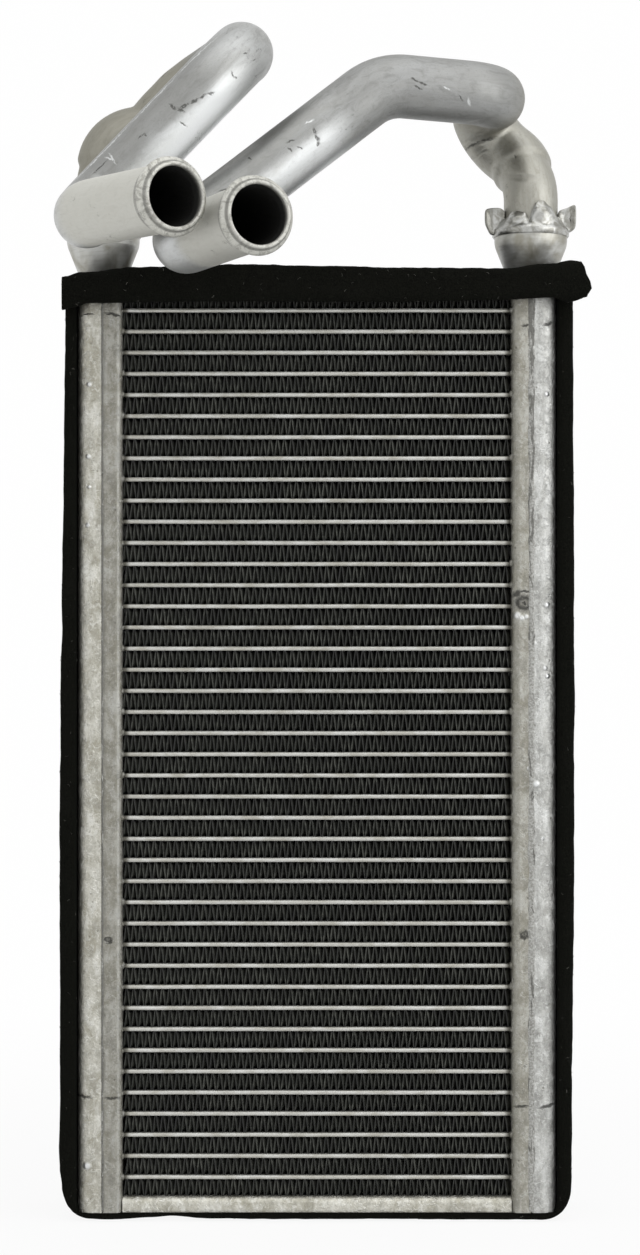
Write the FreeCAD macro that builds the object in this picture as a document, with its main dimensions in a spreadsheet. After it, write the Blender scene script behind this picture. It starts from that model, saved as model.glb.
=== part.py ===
import FreeCAD, Part
import math
import os
import re

import Sketcher

# A brazed aluminium heater core for a car, standing on its lower edge.
# X runs along the flat tubes, Y from front to back and Z along the end tanks.
# The origin is the middle of the seat under the lower foam strip.
# Coolant enters one end tank, crosses the flat tubes and leaves through the other tank.

V = FreeCAD.Vector
TOLERANCE = 1e-3
NO_VOLUME = 1e-6
START_RADIUS = 20.0
RING_SIDES = 8

# Driving dimensions in millimetres: name, value, what it is.
SIZES = [
    ("core_width", 100.0, "distance between the two header plates"),
    ("core_depth", 27.0, "depth of the end tanks and header plates"),
    ("tube_count", 42, "flat tubes, one above the other"),
    ("tube_thickness", 1.2, "height of a flat tube"),
    ("tube_width", 23.0, "depth of a flat tube"),
    ("tube_wall", 0.25, "wall of a flat tube"),
    ("tube_nose", 0.4, "bevel that rounds a flat tube's edges"),
    ("tube_reach", 1.0, "how far a tube ends past its header plate"),
    ("braze_gap", 0.04, "brazed joint between thin pieces"),
    ("fin_height", 4.24, "height of a row of fins"),
    ("fin_width", 22.0, "depth of a row of fins"),
    ("fin_thickness", 0.2, "sheet of a row of fins"),
    ("fin_pitch", 7.6, "length of one fold of a row of fins"),
    ("header_wall", 1.3, "sheet of a header plate"),
    ("header_bend", 1.8, "outer radius of a header plate's bends"),
    ("flange_length", 4.9, "header plate's flange, from the core side"),
    ("end_width", 11.8, "header plate and tank together"),
    ("tank_wall", 1.2, "sheet of an end tank"),
    ("tank_corner", 4.5, "outer corner radius of an end tank"),
    ("tank_shoulder", 0.5, "rounding where the tank meets the flange"),
    ("lip_gap", 0.4, "room between a tube's end and the tank's lips"),
    ("seam_gap", 0.15, "joint between tank and header plate"),
    ("cap_thickness", 1.2, "plate that closes the end of a tank"),
    ("plate_height", 3.86, "channel height of a side plate"),
    ("plate_wall", 1.2, "sheet of a side plate"),
    ("plate_inset", 0.8, "how far a side plate stays inside the core's front and back"),
    ("plate_bend", 1.6, "outer radius of a side plate's bends"),
    ("seat_foam", 2.0, "foam under the core, pressed flat"),
    ("side_foam", 3.6, "foam beside the tanks"),
    ("foam_joint", 0.1, "half the gap between foam strips laid end to end"),
    ("foam_corner", 7.7, "outer corner radius of the foam strip"),
    ("top_foam", 1.8, "foam above the core, pressed flat"),
    ("flap_foam", 3.2, "foam flaps before and behind the core"),
    ("flap_drop", 6.9, "how far the flaps hang below the tanks' tops"),
    ("flap_corner", 2.0, "rounding along the top foam"),
    ("foam_left_over", 3.4, "how far the top foam passes the left tank"),
    ("foam_right_over", 7.8, "how far the top foam passes the right tank"),
    ("foam_hole", 6.7, "radius of the foam's holes for the cups"),
    ("cup_foot", 5.7, "radius of a neck cup where it leaves the tank"),
    ("cup_rim", 9.5, "radius of a neck cup's rim"),
    ("cup_height", 12.9, "height of a neck cup above its tank"),
    ("cup_lip", 3.3, "upright part of a neck cup's rim"),
    ("cup_bowl", 7.0, "rounding of the cup's bowl in section"),
    ("cup_drain", 4.4, "radius of the hole into the tank"),
    ("seal_room", 4.3, "depth of the step under the seal, from the cup's rim"),
    ("stop_room", 2.0, "depth of the stop under the pipe, from the seal's step"),
    ("throat_rise", 2.1, "height over which the hole widens up to the stop"),
    ("seal_bore", 8.42, "radius of the bore round the seal"),
    ("seal_section", 1.34, "thickness of the seal ring"),
    ("neck_radius", 7.05, "outer radius of a pipe's lower end"),
    ("neck_gap", 0.12, "clearance round a pipe's lower end"),
    ("stop_gap", 0.4, "room between a pipe's lower end and its stop"),
    ("swage_start", 1.4, "straight run after a pipe's first bend"),
    ("swage_length", 2.6, "length over which a pipe widens"),
    ("neck_bead", 8.3, "radius of the bead held by the collar"),
    ("neck_bead_section", 1.0, "radius of that bead's section"),
    ("collar_radius", 9.9, "radius of a retaining collar's band"),
    ("collar_band", 2.2, "height of that band"),
    ("crown_radius", 8.8, "radius of the collar's crown"),
    ("crown_height", 8.6, "height of the collar's claws"),
    ("crown_valley", 4.2, "height of the crown between claws and ears"),
    ("claw_foot", 4.4, "half the width of the claws at their foot"),
    ("claw_tip", 1.4, "half the width of the claws at their tip"),
    ("ear_reach", 12.0, "distance of an ear's edge from the pipe"),
    ("ear_root", 8.2, "distance of an ear's inner edge from the pipe"),
    ("ear_drop", 0.4, "how far an ear hangs below the cup's rim"),
    ("ear_height", 7.2, "height of an ear above the cup's rim"),
    ("ear_thickness", 1.6, "thickness of an ear"),
    ("ear_corner", 1.2, "rounding of an ear's corners"),
    ("rim_gap", 0.1, "clearance between collar and cup"),
    ("pipe_radius", 7.95, "outer radius of a pipe"),
    ("pipe_wall", 1.0, "wall of a pipe"),
    ("mouth_bead", 9.25, "radius of the bead that holds a hose"),
    ("mouth_bead_section", 1.3, "radius of that bead's section"),
    ("mouth_bead_place", 2.4, "distance of that bead from the mouth"),
    ("cut_over", 1.0, "how far a cutting shape passes what it cuts"),
]

# Corners of a pipe's centre line: right, back and up from the tops of the tanks, and the bend radius.
# Right is counted from the left neck (-1), the core's middle (0) or the right neck (1).
# The first row is where the straight neck ends, and the last one is the open mouth.
INLET_ROUTE = [
    ("rise", -1, 0.0, 0.0, 25.6, 12.0),
    ("elbow", -1, 2.2, 2.0, 37.0, 9.0),
    ("knee", -1, 11.8, 4.0, 39.3, 10.0),
    ("ramp", -1, 20.3, 5.0, 49.6, 8.0),
    ("hairpin_back", -1, 36.1, 5.0, 60.1, 15.5),
    ("hairpin_front", -1, 37.3, -38.0, 51.6, 15.5),
    ("heel", -1, -2.9, -37.0, 10.0, 10.0),
    ("toe", -1, 1.1, -52.0, 9.8, 14.0),
    ("mouth", -1, 23.9, -86.0, 8.2, 0.0),
]
OUTLET_ROUTE = [
    ("rise", 1, 0.0, 0.0, 24.8, 9.0),
    ("elbow", 1, -2.8, 7.5, 33.2, 10.0),
    ("back", 1, -20.2, 17.0, 48.6, 9.4),
    ("front", 1, -5.9, -14.5, 45.6, 10.0),
    ("ridge", 0, 16.5, -22.0, 47.1, 16.0),
    ("heel", -1, 18.9, -34.0, 4.0, 12.0),
    ("mouth", -1, 43.0, -86.0, 4.1, 0.0),
]
ROUTE_WORDS = ("right", "back", "up", "bend")

# Sizes that follow from the driving dimensions: name and formula, each after those that it uses.
DERIVED = [
    ("core_half", "core_width / 2"),
    ("half_depth", "core_depth / 2"),
    ("row_pitch", "tube_thickness + fin_height"),
    ("stack_height", "tube_count * tube_thickness + (tube_count + 1) * fin_height"),
    ("stack_base", "seat_foam + plate_height"),
    ("metal_height", "stack_height + 2 * plate_height"),
    ("metal_top", "seat_foam + metal_height"),
    ("plate_depth", "core_depth - 2 * plate_inset"),
    ("flange_end", "core_half + flange_length"),
    ("tank_face", "core_half + end_width"),
    ("tank_step", "flange_end + seam_gap"),
    ("lip_face", "half_depth - header_wall - seam_gap"),
    ("foam_left_end", "tank_face + foam_left_over"),
    ("foam_right_end", "tank_face + foam_right_over"),
    ("neck_place", "core_half + end_width / 2"),
    ("cup_top", "metal_top + cup_height"),
    ("cup_flare", "cup_height - cup_lip"),
    ("seal_floor", "cup_height - seal_room"),
    ("cup_shoulder", "seal_floor - stop_room"),
    ("cup_throat", "cup_shoulder - throat_rise"),
    ("neck_stop", "cup_shoulder + stop_gap"),
    ("collar_seat", "cup_top + rim_gap"),
    ("pipe_bore", "pipe_radius - pipe_wall"),
    ("neck_bore", "neck_radius - pipe_wall"),
    ("neck_passage", "neck_radius + neck_gap"),
    ("seal_middle", "(neck_radius + seal_bore) / 2"),
    ("fin_span", "core_width - 2 * braze_gap"),
    ("fin_room", "fin_height - 2 * braze_gap"),
    ("tube_end", "core_half + header_wall + tube_reach"),
    ("lip_end", "tube_end + lip_gap"),
    ("first_tube", "plate_height + fin_height + tube_thickness / 2"),
]

doc = FreeCAD.newDocument("HeaterCore")


def make_sheet():
    """The driving dimensions, each a plain number in a cell with its own name."""
    sheet = doc.addObject("Spreadsheet::Sheet", "Sizes")
    rows = list(SIZES)
    for pipe, route in (("inlet", INLET_ROUTE), ("outlet", OUTLET_ROUTE)):
        for corner in route:
            for word, amount in zip(ROUTE_WORDS, corner[2:]):
                rows.append((f"{pipe}_{corner[0]}_{word}", amount, f"{pipe} pipe's route"))
    for line, (name, amount, note) in enumerate(rows, start=1):
        sheet.set(f"A{line}", note)
        sheet.set(f"B{line}", str(amount))
        sheet.setAlias(f"B{line}", name)
    doc.recompute()
    return sheet, {row[0] for row in rows}


def rule(text):
    """A formula in plain size names, as an expression."""
    def expand(match):
        word = match.group(0)
        if word in aliases:
            return f"Sizes.{word}"
        return f"Derived.{word}" if word in derived_names else word
    return re.sub(r"[a-z][a-z_]*", expand, text)


def make_derived():
    """Sizes worked out from the sheet, which the other objects read in the same way."""
    derived = doc.addObject("App::VarSet", "Derived")
    for name, formula in DERIVED:
        derived.addProperty("App::PropertyFloat", name)
        derived.setExpression(name, rule(formula))
        doc.recompute()
    return derived


derived_names = {name for name, formula in DERIVED}
sheet, aliases = make_sheet()
derived = make_derived()


def size(name):
    """The present value of a driving or derived size."""
    return float(getattr(derived, name) if name in derived_names else sheet.get(name))


def bind(thing, **formulas):
    for name, text in formulas.items():
        thing.setExpression(name, rule(text))


def place(thing, right="0", back="0", up="0"):
    """Puts an object at a place that follows the sheet."""
    for axis, text in zip("xyz", (right, back, up)):
        thing.setExpression(f"Placement.Base.{axis}", rule(text))


def new_body(label):
    body = doc.addObject("PartDesign::Body", label)
    body.Label = label
    return body


def new_sketch(body, label, plane):
    sketch = body.newObject("Sketcher::SketchObject", label)
    support = [item for item in body.Origin.OriginFeatures if item.Role == plane][0]
    sketch.AttachmentSupport = [(support, "")]
    sketch.MapMode = "FlatFace"
    return sketch


def outline(body, label, plane, corners):
    """A closed outline through corners, each held in place by the sheet.

    The corners start on a circle, and the sketch's solver takes each to its own place.
    """
    sketch = new_sketch(body, label, plane)
    count = len(corners)
    turn = 2 * math.pi / count
    points = [V(math.cos(i * turn), math.sin(i * turn), 0) * START_RADIUS for i in range(count)]
    for i in range(count):
        sketch.addGeometry(Part.LineSegment(points[i], points[(i + 1) % count]), False)
    for i in range(count):
        sketch.addConstraint(Sketcher.Constraint("Coincident", i, 2, (i + 1) % count, 1))
    for i, (across, up) in enumerate(corners):
        hold(sketch, i, 1, across, up)
    return sketch


def hold(sketch, line, point, across, up=None):
    """Fixes a point of a sketch's line by formulas for its distances from the origin."""
    spot = sketch.getPoint(line, point)
    for kind, text, amount in (("DistanceX", across, spot.x), ("DistanceY", up, spot.y)):
        if text is not None:
            held = sketch.addConstraint(Sketcher.Constraint(kind, -1, 1, line, point, amount))
            sketch.setExpression(f"Constraints[{held}]", rule(text))


def tube_outline(body, label, margin, nose):
    """The outline of a flat tube, grown all round by a margin, with its edges drawn to a nose."""
    wide = f"tube_width / 2 + {margin}"
    high = f"tube_thickness / 2 + {margin}"
    quarter = [(wide, f"{high} - ({nose})"), (f"{wide} - ({nose})", high)]
    half = quarter + [(f"-({across})", up) for across, up in reversed(quarter)]
    return outline(body, label, "YZ_Plane", half + [(across, f"-({up})") for across, up in reversed(half)])


def pad(body, sketch, length, middle=False):
    feature = body.newObject("PartDesign::Pad", f"{sketch.Name}Pad")
    feature.Profile = sketch
    bind(feature, Length=length)
    feature.Midplane = middle
    doc.recompute()
    return feature


def cut(body, feature):
    """Recomputes after a cutting feature, and stops if it took nothing away."""
    before = body.Shape.Volume
    doc.recompute()
    if body.Shape.Volume > before - NO_VOLUME:
        raise ValueError(f"{feature.Label} cuts nothing")
    return feature


def pocket(body, sketch, length, middle=False, reverse=False):
    feature = body.newObject("PartDesign::Pocket", f"{sketch.Name}Pocket")
    feature.Profile = sketch
    bind(feature, Length=length)
    feature.Midplane = middle
    feature.Reversed = reverse
    return cut(body, feature)


def turned(body, sketch, kind):
    """A Revolution or Groove of a sketch about its upright axis."""
    feature = body.newObject(f"PartDesign::{kind}", f"{sketch.Name}{kind}")
    feature.Profile = sketch
    feature.ReferenceAxis = (sketch, ["V_Axis"])
    feature.Angle = 360
    if kind == "Groove":
        return cut(body, feature)
    doc.recompute()
    return feature


def square_edges(shape, sketch, corners):
    """Names of the edges that run square through a sketch's plane at some of its corners."""
    square = sketch.Placement.Rotation.multVec(V(0, 0, 1))
    spots = [sketch.Placement.multVec(sketch.getPoint(corner, 1)) for corner in corners]
    names = []
    for line, edge in enumerate(shape.Edges, start=1):
        for spot in spots:
            if edge.distToShape(Part.Vertex(spot))[0] > TOLERANCE:
                continue
            along = edge.tangentAt(edge.Curve.parameter(spot))
            if abs(along.dot(square)) > 1 - TOLERANCE and f"Edge{line}" not in names:
                names.append(f"Edge{line}")
    return names


def fillet(body, sketch, corners, radius):
    """Rounds the edges that stand on some corners of a sketch."""
    base = body.Tip
    names = square_edges(base.Shape, sketch, corners)
    if len(names) != len(corners):
        raise ValueError(f"{body.Label} has {len(names)} edges at {len(corners)} corners of {sketch.Label}")
    feature = body.newObject("PartDesign::Fillet", f"{sketch.Name}Fillet")
    feature.Base = (base, names)
    bind(feature, Radius=radius)
    doc.recompute()
    return feature


def signed(side, text):
    """A formula mirrored to the other side where side is -1."""
    return text if side > 0 else f"-({text})"


def mirrored(half, side):
    """A profile from its rear half, with the front half mirrored, on the right (1) or left (-1)."""
    whole = half + [(across, f"-({up})") for across, up in reversed(half)]
    return [(signed(side, across), up) for across, up in whole]


def flat_tube(index):
    """One flat tube, hollow, ending a little past both header plates."""
    body = new_body(f"flat_tube_{index + 1:02d}")
    pad(body, tube_outline(body, "TubeOuter", "0", "tube_nose"), "2 * tube_end", middle=True)
    hollow = tube_outline(body, "TubeInner", "-tube_wall", "tube_nose - tube_wall")
    pocket(body, hollow, "2 * tube_end + 2 * cut_over", middle=True)
    place(body, up=f"seat_foam + first_tube + {index} * row_pitch")
    return body


def fin_strip():
    """The shape of one row of folded fins, from the sheet: a zigzag of thin metal."""
    span = size("fin_span")
    folds = max(1, round(span / size("fin_pitch")))
    sheet_half = size("fin_thickness") / 2
    levels = (sheet_half, size("fin_room") - sheet_half)
    leg = span / folds / 2
    middle = [V(i * leg - span / 2, 0, levels[i % 2]) for i in range(2 * folds + 1)]
    rise = V(0, 0, sheet_half)
    upper = [point + rise for point in middle]
    lower = [point - rise for point in reversed(middle)]
    face = Part.Face(Part.makePolygon(upper + lower + upper[:1]))
    return face.extrude(V(0, size("fin_width"), 0))


def fin_rows():
    """Rows of folded fins, one above, between and below the tubes, as separate strips."""
    rows = []
    for row in range(int(size("tube_count")) + 1):
        strip = doc.addObject("Part::Feature", f"FinRow{row + 1:02d}")
        strip.Shape = fin_strip()
        place(strip, back="-fin_width / 2", up=f"stack_base + braze_gap + {row} * row_pitch")
        rows.append(strip)
    group = doc.addObject("Part::Compound", "corrugated_fins")
    group.Links = rows
    return group


def header_plate(label, side):
    """A channel with a slot for each tube and flanges that turn away from the core."""
    body = new_body(label)
    half = [
        ("core_half", "half_depth"),
        ("flange_end", "half_depth"),
        ("flange_end", "half_depth - header_wall"),
        ("core_half + header_wall", "half_depth - header_wall"),
    ]
    profile = outline(body, f"{label}Profile", "XY_Plane", mirrored(half, side))
    pad(body, profile, "metal_height")
    fillet(body, profile, [0, 7], "header_bend")
    fillet(body, profile, [3, 4], "header_bend - header_wall")
    slot = tube_outline(body, f"{label}Slot", "braze_gap", "tube_nose")
    slot.setExpression("AttachmentOffset.Base.y", rule("first_tube"))
    doc.recompute()
    hole = pocket(body, slot, "core_half + header_wall + cut_over", reverse=side > 0)
    slots = body.newObject("PartDesign::LinearPattern", f"{label}Slots")
    slots.Originals = [hole]
    slots.Direction = (slot, ["V_Axis"])
    bind(slots, Length="(tube_count - 1) * row_pitch", Occurrences="tube_count")
    body.Tip = slots
    cut(body, slots)
    place(body, up="seat_foam")
    return body


def end_tank(label, side):
    """A drawn channel whose lips tuck inside the header plate's flanges."""
    body = new_body(label)
    half = [
        ("tank_face - tank_wall", "half_depth - tank_wall"),
        ("tank_step + tank_wall", "half_depth - tank_wall"),
        ("tank_step + tank_wall", "lip_face - tank_wall"),
        ("lip_end", "lip_face - tank_wall"),
        ("lip_end", "lip_face"),
        ("tank_step", "lip_face"),
        ("tank_step", "half_depth"),
        ("tank_face", "half_depth"),
    ]
    profile = outline(body, f"{label}Profile", "XY_Plane", mirrored(half, side))
    pad(body, profile, "metal_height")
    fillet(body, profile, [7, 8], "tank_corner")
    fillet(body, profile, [0, 15], "tank_corner - tank_wall")
    fillet(body, profile, [6, 9], "tank_shoulder")
    place(body, up="seat_foam")
    return body


def closing_plate(body, side):
    """A plate that fills the inside of a tank and its header plate, less the seam's gap."""
    half = [
        ("core_half + header_wall + seam_gap", "lip_face - tank_wall - seam_gap"),
        ("tank_step + tank_wall + seam_gap", "lip_face - tank_wall - seam_gap"),
        ("tank_step + tank_wall + seam_gap", "half_depth - tank_wall - seam_gap"),
        ("tank_face - tank_wall - seam_gap", "half_depth - tank_wall - seam_gap"),
    ]
    profile = outline(body, f"{body.Label}Outline", "XY_Plane", mirrored(half, side))
    pad(body, profile, "cap_thickness")
    fillet(body, profile, [3, 4], "tank_corner - tank_wall - seam_gap")


def bottom_caps():
    """Two alike plates that close the lower ends of the tanks."""
    caps = []
    for name, side in (("LeftCap", -1), ("RightCap", 1)):
        body = new_body(name)
        closing_plate(body, side)
        place(body, up="seat_foam")
        caps.append(body)
    group = doc.addObject("Part::Compound", "bottom_end_caps")
    group.Links = caps
    return group


def neck_cup(label, side):
    """A drawn cup whose foot closes the top of a tank, bored for the pipe and its seal."""
    body = new_body(label)
    closing_plate(body, side)
    stand = doc.addObject("PartDesign::Body", f"{label}Bowl")
    bowl = outline(
        stand,
        f"{label}BowlOutline",
        "XZ_Plane",
        [
            ("0", "0"),
            ("cup_foot", "0"),
            ("cup_rim", "cup_flare"),
            ("cup_rim", "cup_height"),
            ("0", "cup_height"),
        ],
    )
    turned(stand, bowl, "Revolution")
    fillet(stand, bowl, [2], "cup_bowl")
    bore = outline(
        stand,
        f"{label}BoreOutline",
        "XZ_Plane",
        [
            ("0", "0"),
            ("cup_drain", "0"),
            ("cup_drain", "cup_throat"),
            ("neck_passage", "cup_shoulder"),
            ("neck_passage", "seal_floor"),
            ("seal_bore", "seal_floor"),
            ("seal_bore", "cup_height"),
            ("0", "cup_height"),
        ],
    )
    turned(stand, bore, "Groove")
    drain = doc.addObject("Part::Cylinder", f"{label}Drain")
    bind(drain, Radius="cup_drain", Height="cap_thickness + 2 * cut_over")
    place(drain, right=signed(side, "neck_place"), up="metal_top - cap_thickness - cut_over")
    place(body, up="metal_top - cap_thickness")
    place(stand, right=signed(side, "neck_place"), up="metal_top")
    plate = doc.addObject("Part::Cut", f"{label}Plate")
    plate.Base, plate.Tool = body, drain
    body.Label = f"{label}Blank"
    whole = doc.addObject("Part::Fuse", f"{label}Whole")
    whole.Base, whole.Tool = plate, stand
    whole.Label = label
    return whole


def seal_ring(label, side):
    """A rubber ring round the pipe's lower end, on the step in the cup."""
    body = new_body(label)
    turn = 2 * math.pi / RING_SIDES
    corners = []
    for i in range(RING_SIDES):
        across, up = math.cos((i + 0.5) * turn), math.sin((i + 0.5) * turn)
        corners.append((f"seal_middle + {across:.6f} * seal_section / 2", f"{up:.6f} * seal_section / 2"))
    turned(body, outline(body, f"{label}Section", "XZ_Plane", corners), "Revolution")
    place(
        body,
        right=signed(side, "neck_place"),
        up="metal_top + seal_floor + seal_section / 2",
    )
    return body


def retaining_collar(label, side):
    """A stamped collar over the cup's rim, with two ears and claws pressed in round the pipe."""
    body = new_body(label)
    band = outline(
        body,
        f"{label}Band",
        "XZ_Plane",
        [
            ("neck_passage", "0"),
            ("collar_radius", "0"),
            ("collar_radius", "collar_band"),
            ("crown_radius", "collar_band + collar_radius - crown_radius"),
            ("crown_radius", "crown_height"),
            ("neck_passage", "crown_height"),
        ],
    )
    turned(body, band, "Revolution")
    for mark, way in (("Left", -1), ("Right", 1)):
        notch = outline(
            body,
            f"{label}{mark}Notch",
            "XZ_Plane",
            [
                (signed(way, "claw_tip"), "crown_height + cut_over"),
                (signed(way, "claw_tip"), "crown_height"),
                (signed(way, "claw_foot"), "crown_valley"),
                (signed(way, "collar_radius + cut_over"), "crown_valley"),
                (signed(way, "collar_radius + cut_over"), "crown_height + cut_over"),
            ],
        )
        pocket(body, notch, "2 * collar_radius + 2 * cut_over", middle=True)
    for mark, way in (("Left", -1), ("Right", 1)):
        ear = outline(
            body,
            f"{label}{mark}Ear",
            "XZ_Plane",
            [
                (signed(way, "ear_root"), "-ear_drop"),
                (signed(way, "ear_reach"), "-ear_drop"),
                (signed(way, "ear_reach"), "ear_height"),
                (signed(way, "ear_root"), "ear_height"),
            ],
        )
        pad(body, ear, "ear_thickness", middle=True)
        fillet(body, ear, [1, 2], "ear_corner")
    clearance = outline(
        body,
        f"{label}Clearance",
        "XZ_Plane",
        [
            ("0", "-ear_drop - cut_over"),
            ("cup_rim + rim_gap", "-ear_drop - cut_over"),
            ("cup_rim + rim_gap", "0"),
            ("0", "0"),
        ],
    )
    turned(body, clearance, "Groove")
    place(body, right=signed(side, "neck_place"), up="collar_seat")
    return body


def route_points(pipe, route, side):
    """A pipe's centre line from its lower end, as corners and bend radii read from the sheet."""
    neck, top = size("neck_place"), size("metal_top")
    points, bends = [V(side * neck, 0, top + size("neck_stop"))], [0.0]
    for corner in route:
        right, back, up, bend = [size(f"{pipe}_{corner[0]}_{word}") for word in ROUTE_WORDS]
        points.append(V(corner[1] * neck + right, back, top + up))
        bends.append(bend)
    return points, bends


def bent_path(points, bends):
    """Straight runs joined by arcs that touch both runs."""
    edges = []
    here = points[0]
    for i in range(1, len(points) - 1):
        back = (points[i - 1] - points[i]).normalize()
        ahead = (points[i + 1] - points[i]).normalize()
        half_turn = (math.pi - back.getAngle(ahead)) / 2
        reach = bends[i] * math.tan(half_turn)
        start, end = points[i] + back * reach, points[i] + ahead * reach
        middle = (back + ahead).normalize()
        crest = points[i] + middle * (bends[i] / math.cos(half_turn) - bends[i])
        edges.append(Part.LineSegment(here, start).toShape())
        edges.append(Part.Arc(start, crest, end).toShape())
        here = end
    edges.append(Part.LineSegment(here, points[-1]).toShape())
    return Part.Wire(edges)


def along(start, end, distance):
    """The point at a distance from start towards end, and the placement that faces that way."""
    way = (end - start).normalize()
    point = start + way * distance
    return point, FreeCAD.Placement(point, FreeCAD.Rotation(V(0, 0, 1), way))


def swept_bar(label, spine, facing, radius):
    """A round bar of a given radius along a path that starts where the placement faces."""
    ring = doc.addObject("Part::Circle", f"{label}Ring")
    bind(ring, Radius=radius)
    ring.Placement = facing
    bar = doc.addObject("Part::Sweep", label)
    bar.Sections = [ring]
    bar.Spine = (spine, [])
    bar.Solid = True
    return bar


def primitive(kind, label, facing, **formulas):
    """A round primitive with its sizes bound to the sheet and its axis where the placement faces."""
    shape = doc.addObject(f"Part::{kind}", label)
    bind(shape, **formulas)
    shape.Placement = facing
    return shape


def pipe_bar(label, spines, faces, neck, full):
    """The round bar inside or outside a pipe: a narrow neck, a swage and the full width."""
    swage = primitive(
        "Cone", f"{label}Swage", faces[1], Radius1=neck, Radius2=full, Height="swage_length"
    )
    bar = doc.addObject("Part::MultiFuse", label)
    bar.Shapes = [
        swept_bar(f"{label}Neck", spines[0], faces[0], neck),
        swage,
        swept_bar(f"{label}Run", spines[1], faces[2], full),
    ]
    return bar


def bent_pipe(label, pipe, route, side):
    """A bent pipe: a narrow neck in the cup, a swage, bends up and out, and a beaded open mouth."""
    points, bends = route_points(pipe, route, side)
    first_turn = (points[1] - points[0]).getAngle(points[2] - points[1])
    reach = bends[1] * math.tan(first_turn / 2)
    swage_at = reach + size("swage_start")
    low, low_face = along(points[0], points[1], 0)
    wide, wide_face = along(points[1], points[2], swage_at + size("swage_length"))
    narrow, narrow_face = along(points[1], points[2], swage_at)
    spines = []
    for name, stops, turns in (
        ("Neck", [low, points[1], narrow], bends[:2]),
        ("Run", [wide] + points[2:], bends[1:]),
    ):
        spine = doc.addObject("Part::Feature", f"{label}{name}Path")
        spine.Shape = bent_path(stops, turns)
        spines.append(spine)
    faces = (low_face, narrow_face, wide_face)
    outer = pipe_bar(f"{label}Outer", spines, faces, "neck_radius", "pipe_radius")
    hollow = pipe_bar(f"{label}Hollow", spines, faces, "neck_bore", "pipe_bore")
    held_at = size("cup_height") - size("neck_stop") - size("neck_bead_section")
    seat_face = along(points[0], points[1], held_at)[1]
    neck_bead = primitive(
        "Torus",
        f"{label}NeckBead",
        seat_face,
        Radius1="neck_bead - neck_bead_section",
        Radius2="neck_bead_section",
    )
    mouth_face = along(points[-1], points[-2], size("mouth_bead_place"))[1]
    mouth_bead = primitive(
        "Torus",
        f"{label}MouthBead",
        mouth_face,
        Radius1="mouth_bead - mouth_bead_section",
        Radius2="mouth_bead_section",
    )
    solid = doc.addObject("Part::MultiFuse", f"{label}Solid")
    solid.Shapes = [outer, neck_bead, mouth_bead]
    whole = doc.addObject("Part::Cut", f"{label}Whole")
    whole.Base, whole.Tool = solid, hollow
    whole.Label = label
    return whole


def side_plate(label, level, way):
    """A channel along the fins, its flanges turned up (1) or down (-1), away from them."""
    body = new_body(label)
    half = [
        ("plate_depth / 2", "0"),
        ("plate_depth / 2", "plate_height"),
        ("plate_depth / 2 - plate_wall", "plate_height"),
        ("plate_depth / 2 - plate_wall", "plate_wall"),
    ]
    corners = half + [(f"-({across})", up) for across, up in reversed(half)]
    corners = [(across, signed(way, up)) for across, up in corners]
    profile = outline(body, f"{label}Profile", "YZ_Plane", corners)
    pad(body, profile, "fin_span", middle=True)
    fillet(body, profile, [0, 7], "plate_bend")
    fillet(body, profile, [3, 4], "plate_bend - plate_wall")
    place(body, up=level)
    return body


def foam_strip(label, corners):
    """A foam strip as deep as the core, from its outline seen from the front."""
    body = new_body(label)
    profile = outline(body, f"{label}Profile", "XZ_Plane", corners)
    pad(body, profile, "core_depth", middle=True)
    return body, profile


def side_foam():
    """Foam strips down both sides, turned in under the tanks, and a flat one between them under the core."""
    half = [("core_half - foam_joint", "0"), ("core_half - foam_joint", "seat_foam")]
    strips = [foam_strip("SeatFoam", half + [(f"-({across})", up) for across, up in reversed(half)])[0]]
    corners = [
        ("core_half + foam_joint", "0"),
        ("core_half + foam_joint", "seat_foam"),
        ("tank_face", "seat_foam"),
        ("tank_face", "metal_top"),
        ("tank_face + side_foam", "metal_top"),
        ("tank_face + side_foam", "0"),
    ]
    for label, side in (("LeftFoam", -1), ("RightFoam", 1)):
        body, profile = foam_strip(label, [(signed(side, across), up) for across, up in corners])
        fillet(body, profile, [5], "foam_corner")
        strips.append(body)
    group = doc.addObject("Part::Compound", "side_foam")
    group.Links = strips
    return group


def top_foam():
    """A foam strip over the core's top, folded down in front and behind."""
    body = new_body("top_foam")
    outside = "half_depth + flap_foam"
    low = "metal_top - flap_drop"
    high = "metal_top + top_foam"
    corners = [
        (f"-({outside})", low),
        (f"-({outside})", high),
        (outside, high),
        (outside, low),
        ("half_depth", low),
        ("half_depth", "metal_top"),
        ("-half_depth", "metal_top"),
        ("-half_depth", low),
    ]
    profile = outline(body, "TopFoamProfile", "YZ_Plane", corners)
    pad(body, profile, "foam_left_end + foam_right_end")
    fillet(body, profile, [1, 2], "flap_corner")
    place(body, right="-foam_left_end")
    holes = []
    for mark, side in (("Left", -1), ("Right", 1)):
        hole = doc.addObject("Part::Cylinder", f"TopFoam{mark}Hole")
        bind(hole, Radius="foam_hole", Height="top_foam + 2 * cut_over")
        place(hole, right=signed(side, "neck_place"), up="metal_top - cut_over")
        holes.append(hole)
    tool = doc.addObject("Part::MultiFuse", "TopFoamHoles")
    tool.Shapes = holes
    whole = doc.addObject("Part::Cut", "TopFoamWhole")
    whole.Base, whole.Tool = body, tool
    body.Label = "TopFoamBlank"
    whole.Label = "top_foam"
    return whole


def check(nodes):
    """Stops if any object failed or any piece isn't a sound solid."""
    for item in doc.Objects:
        if "Invalid" in item.State or "Error" in item.State:
            raise ValueError(f"{item.Label} failed: {item.State}")
    for node in nodes:
        shape = node.Shape
        if shape.isNull() or not shape.isValid() or not shape.Solids:
            raise ValueError(f"{node.Label} isn't a sound solid")


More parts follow.
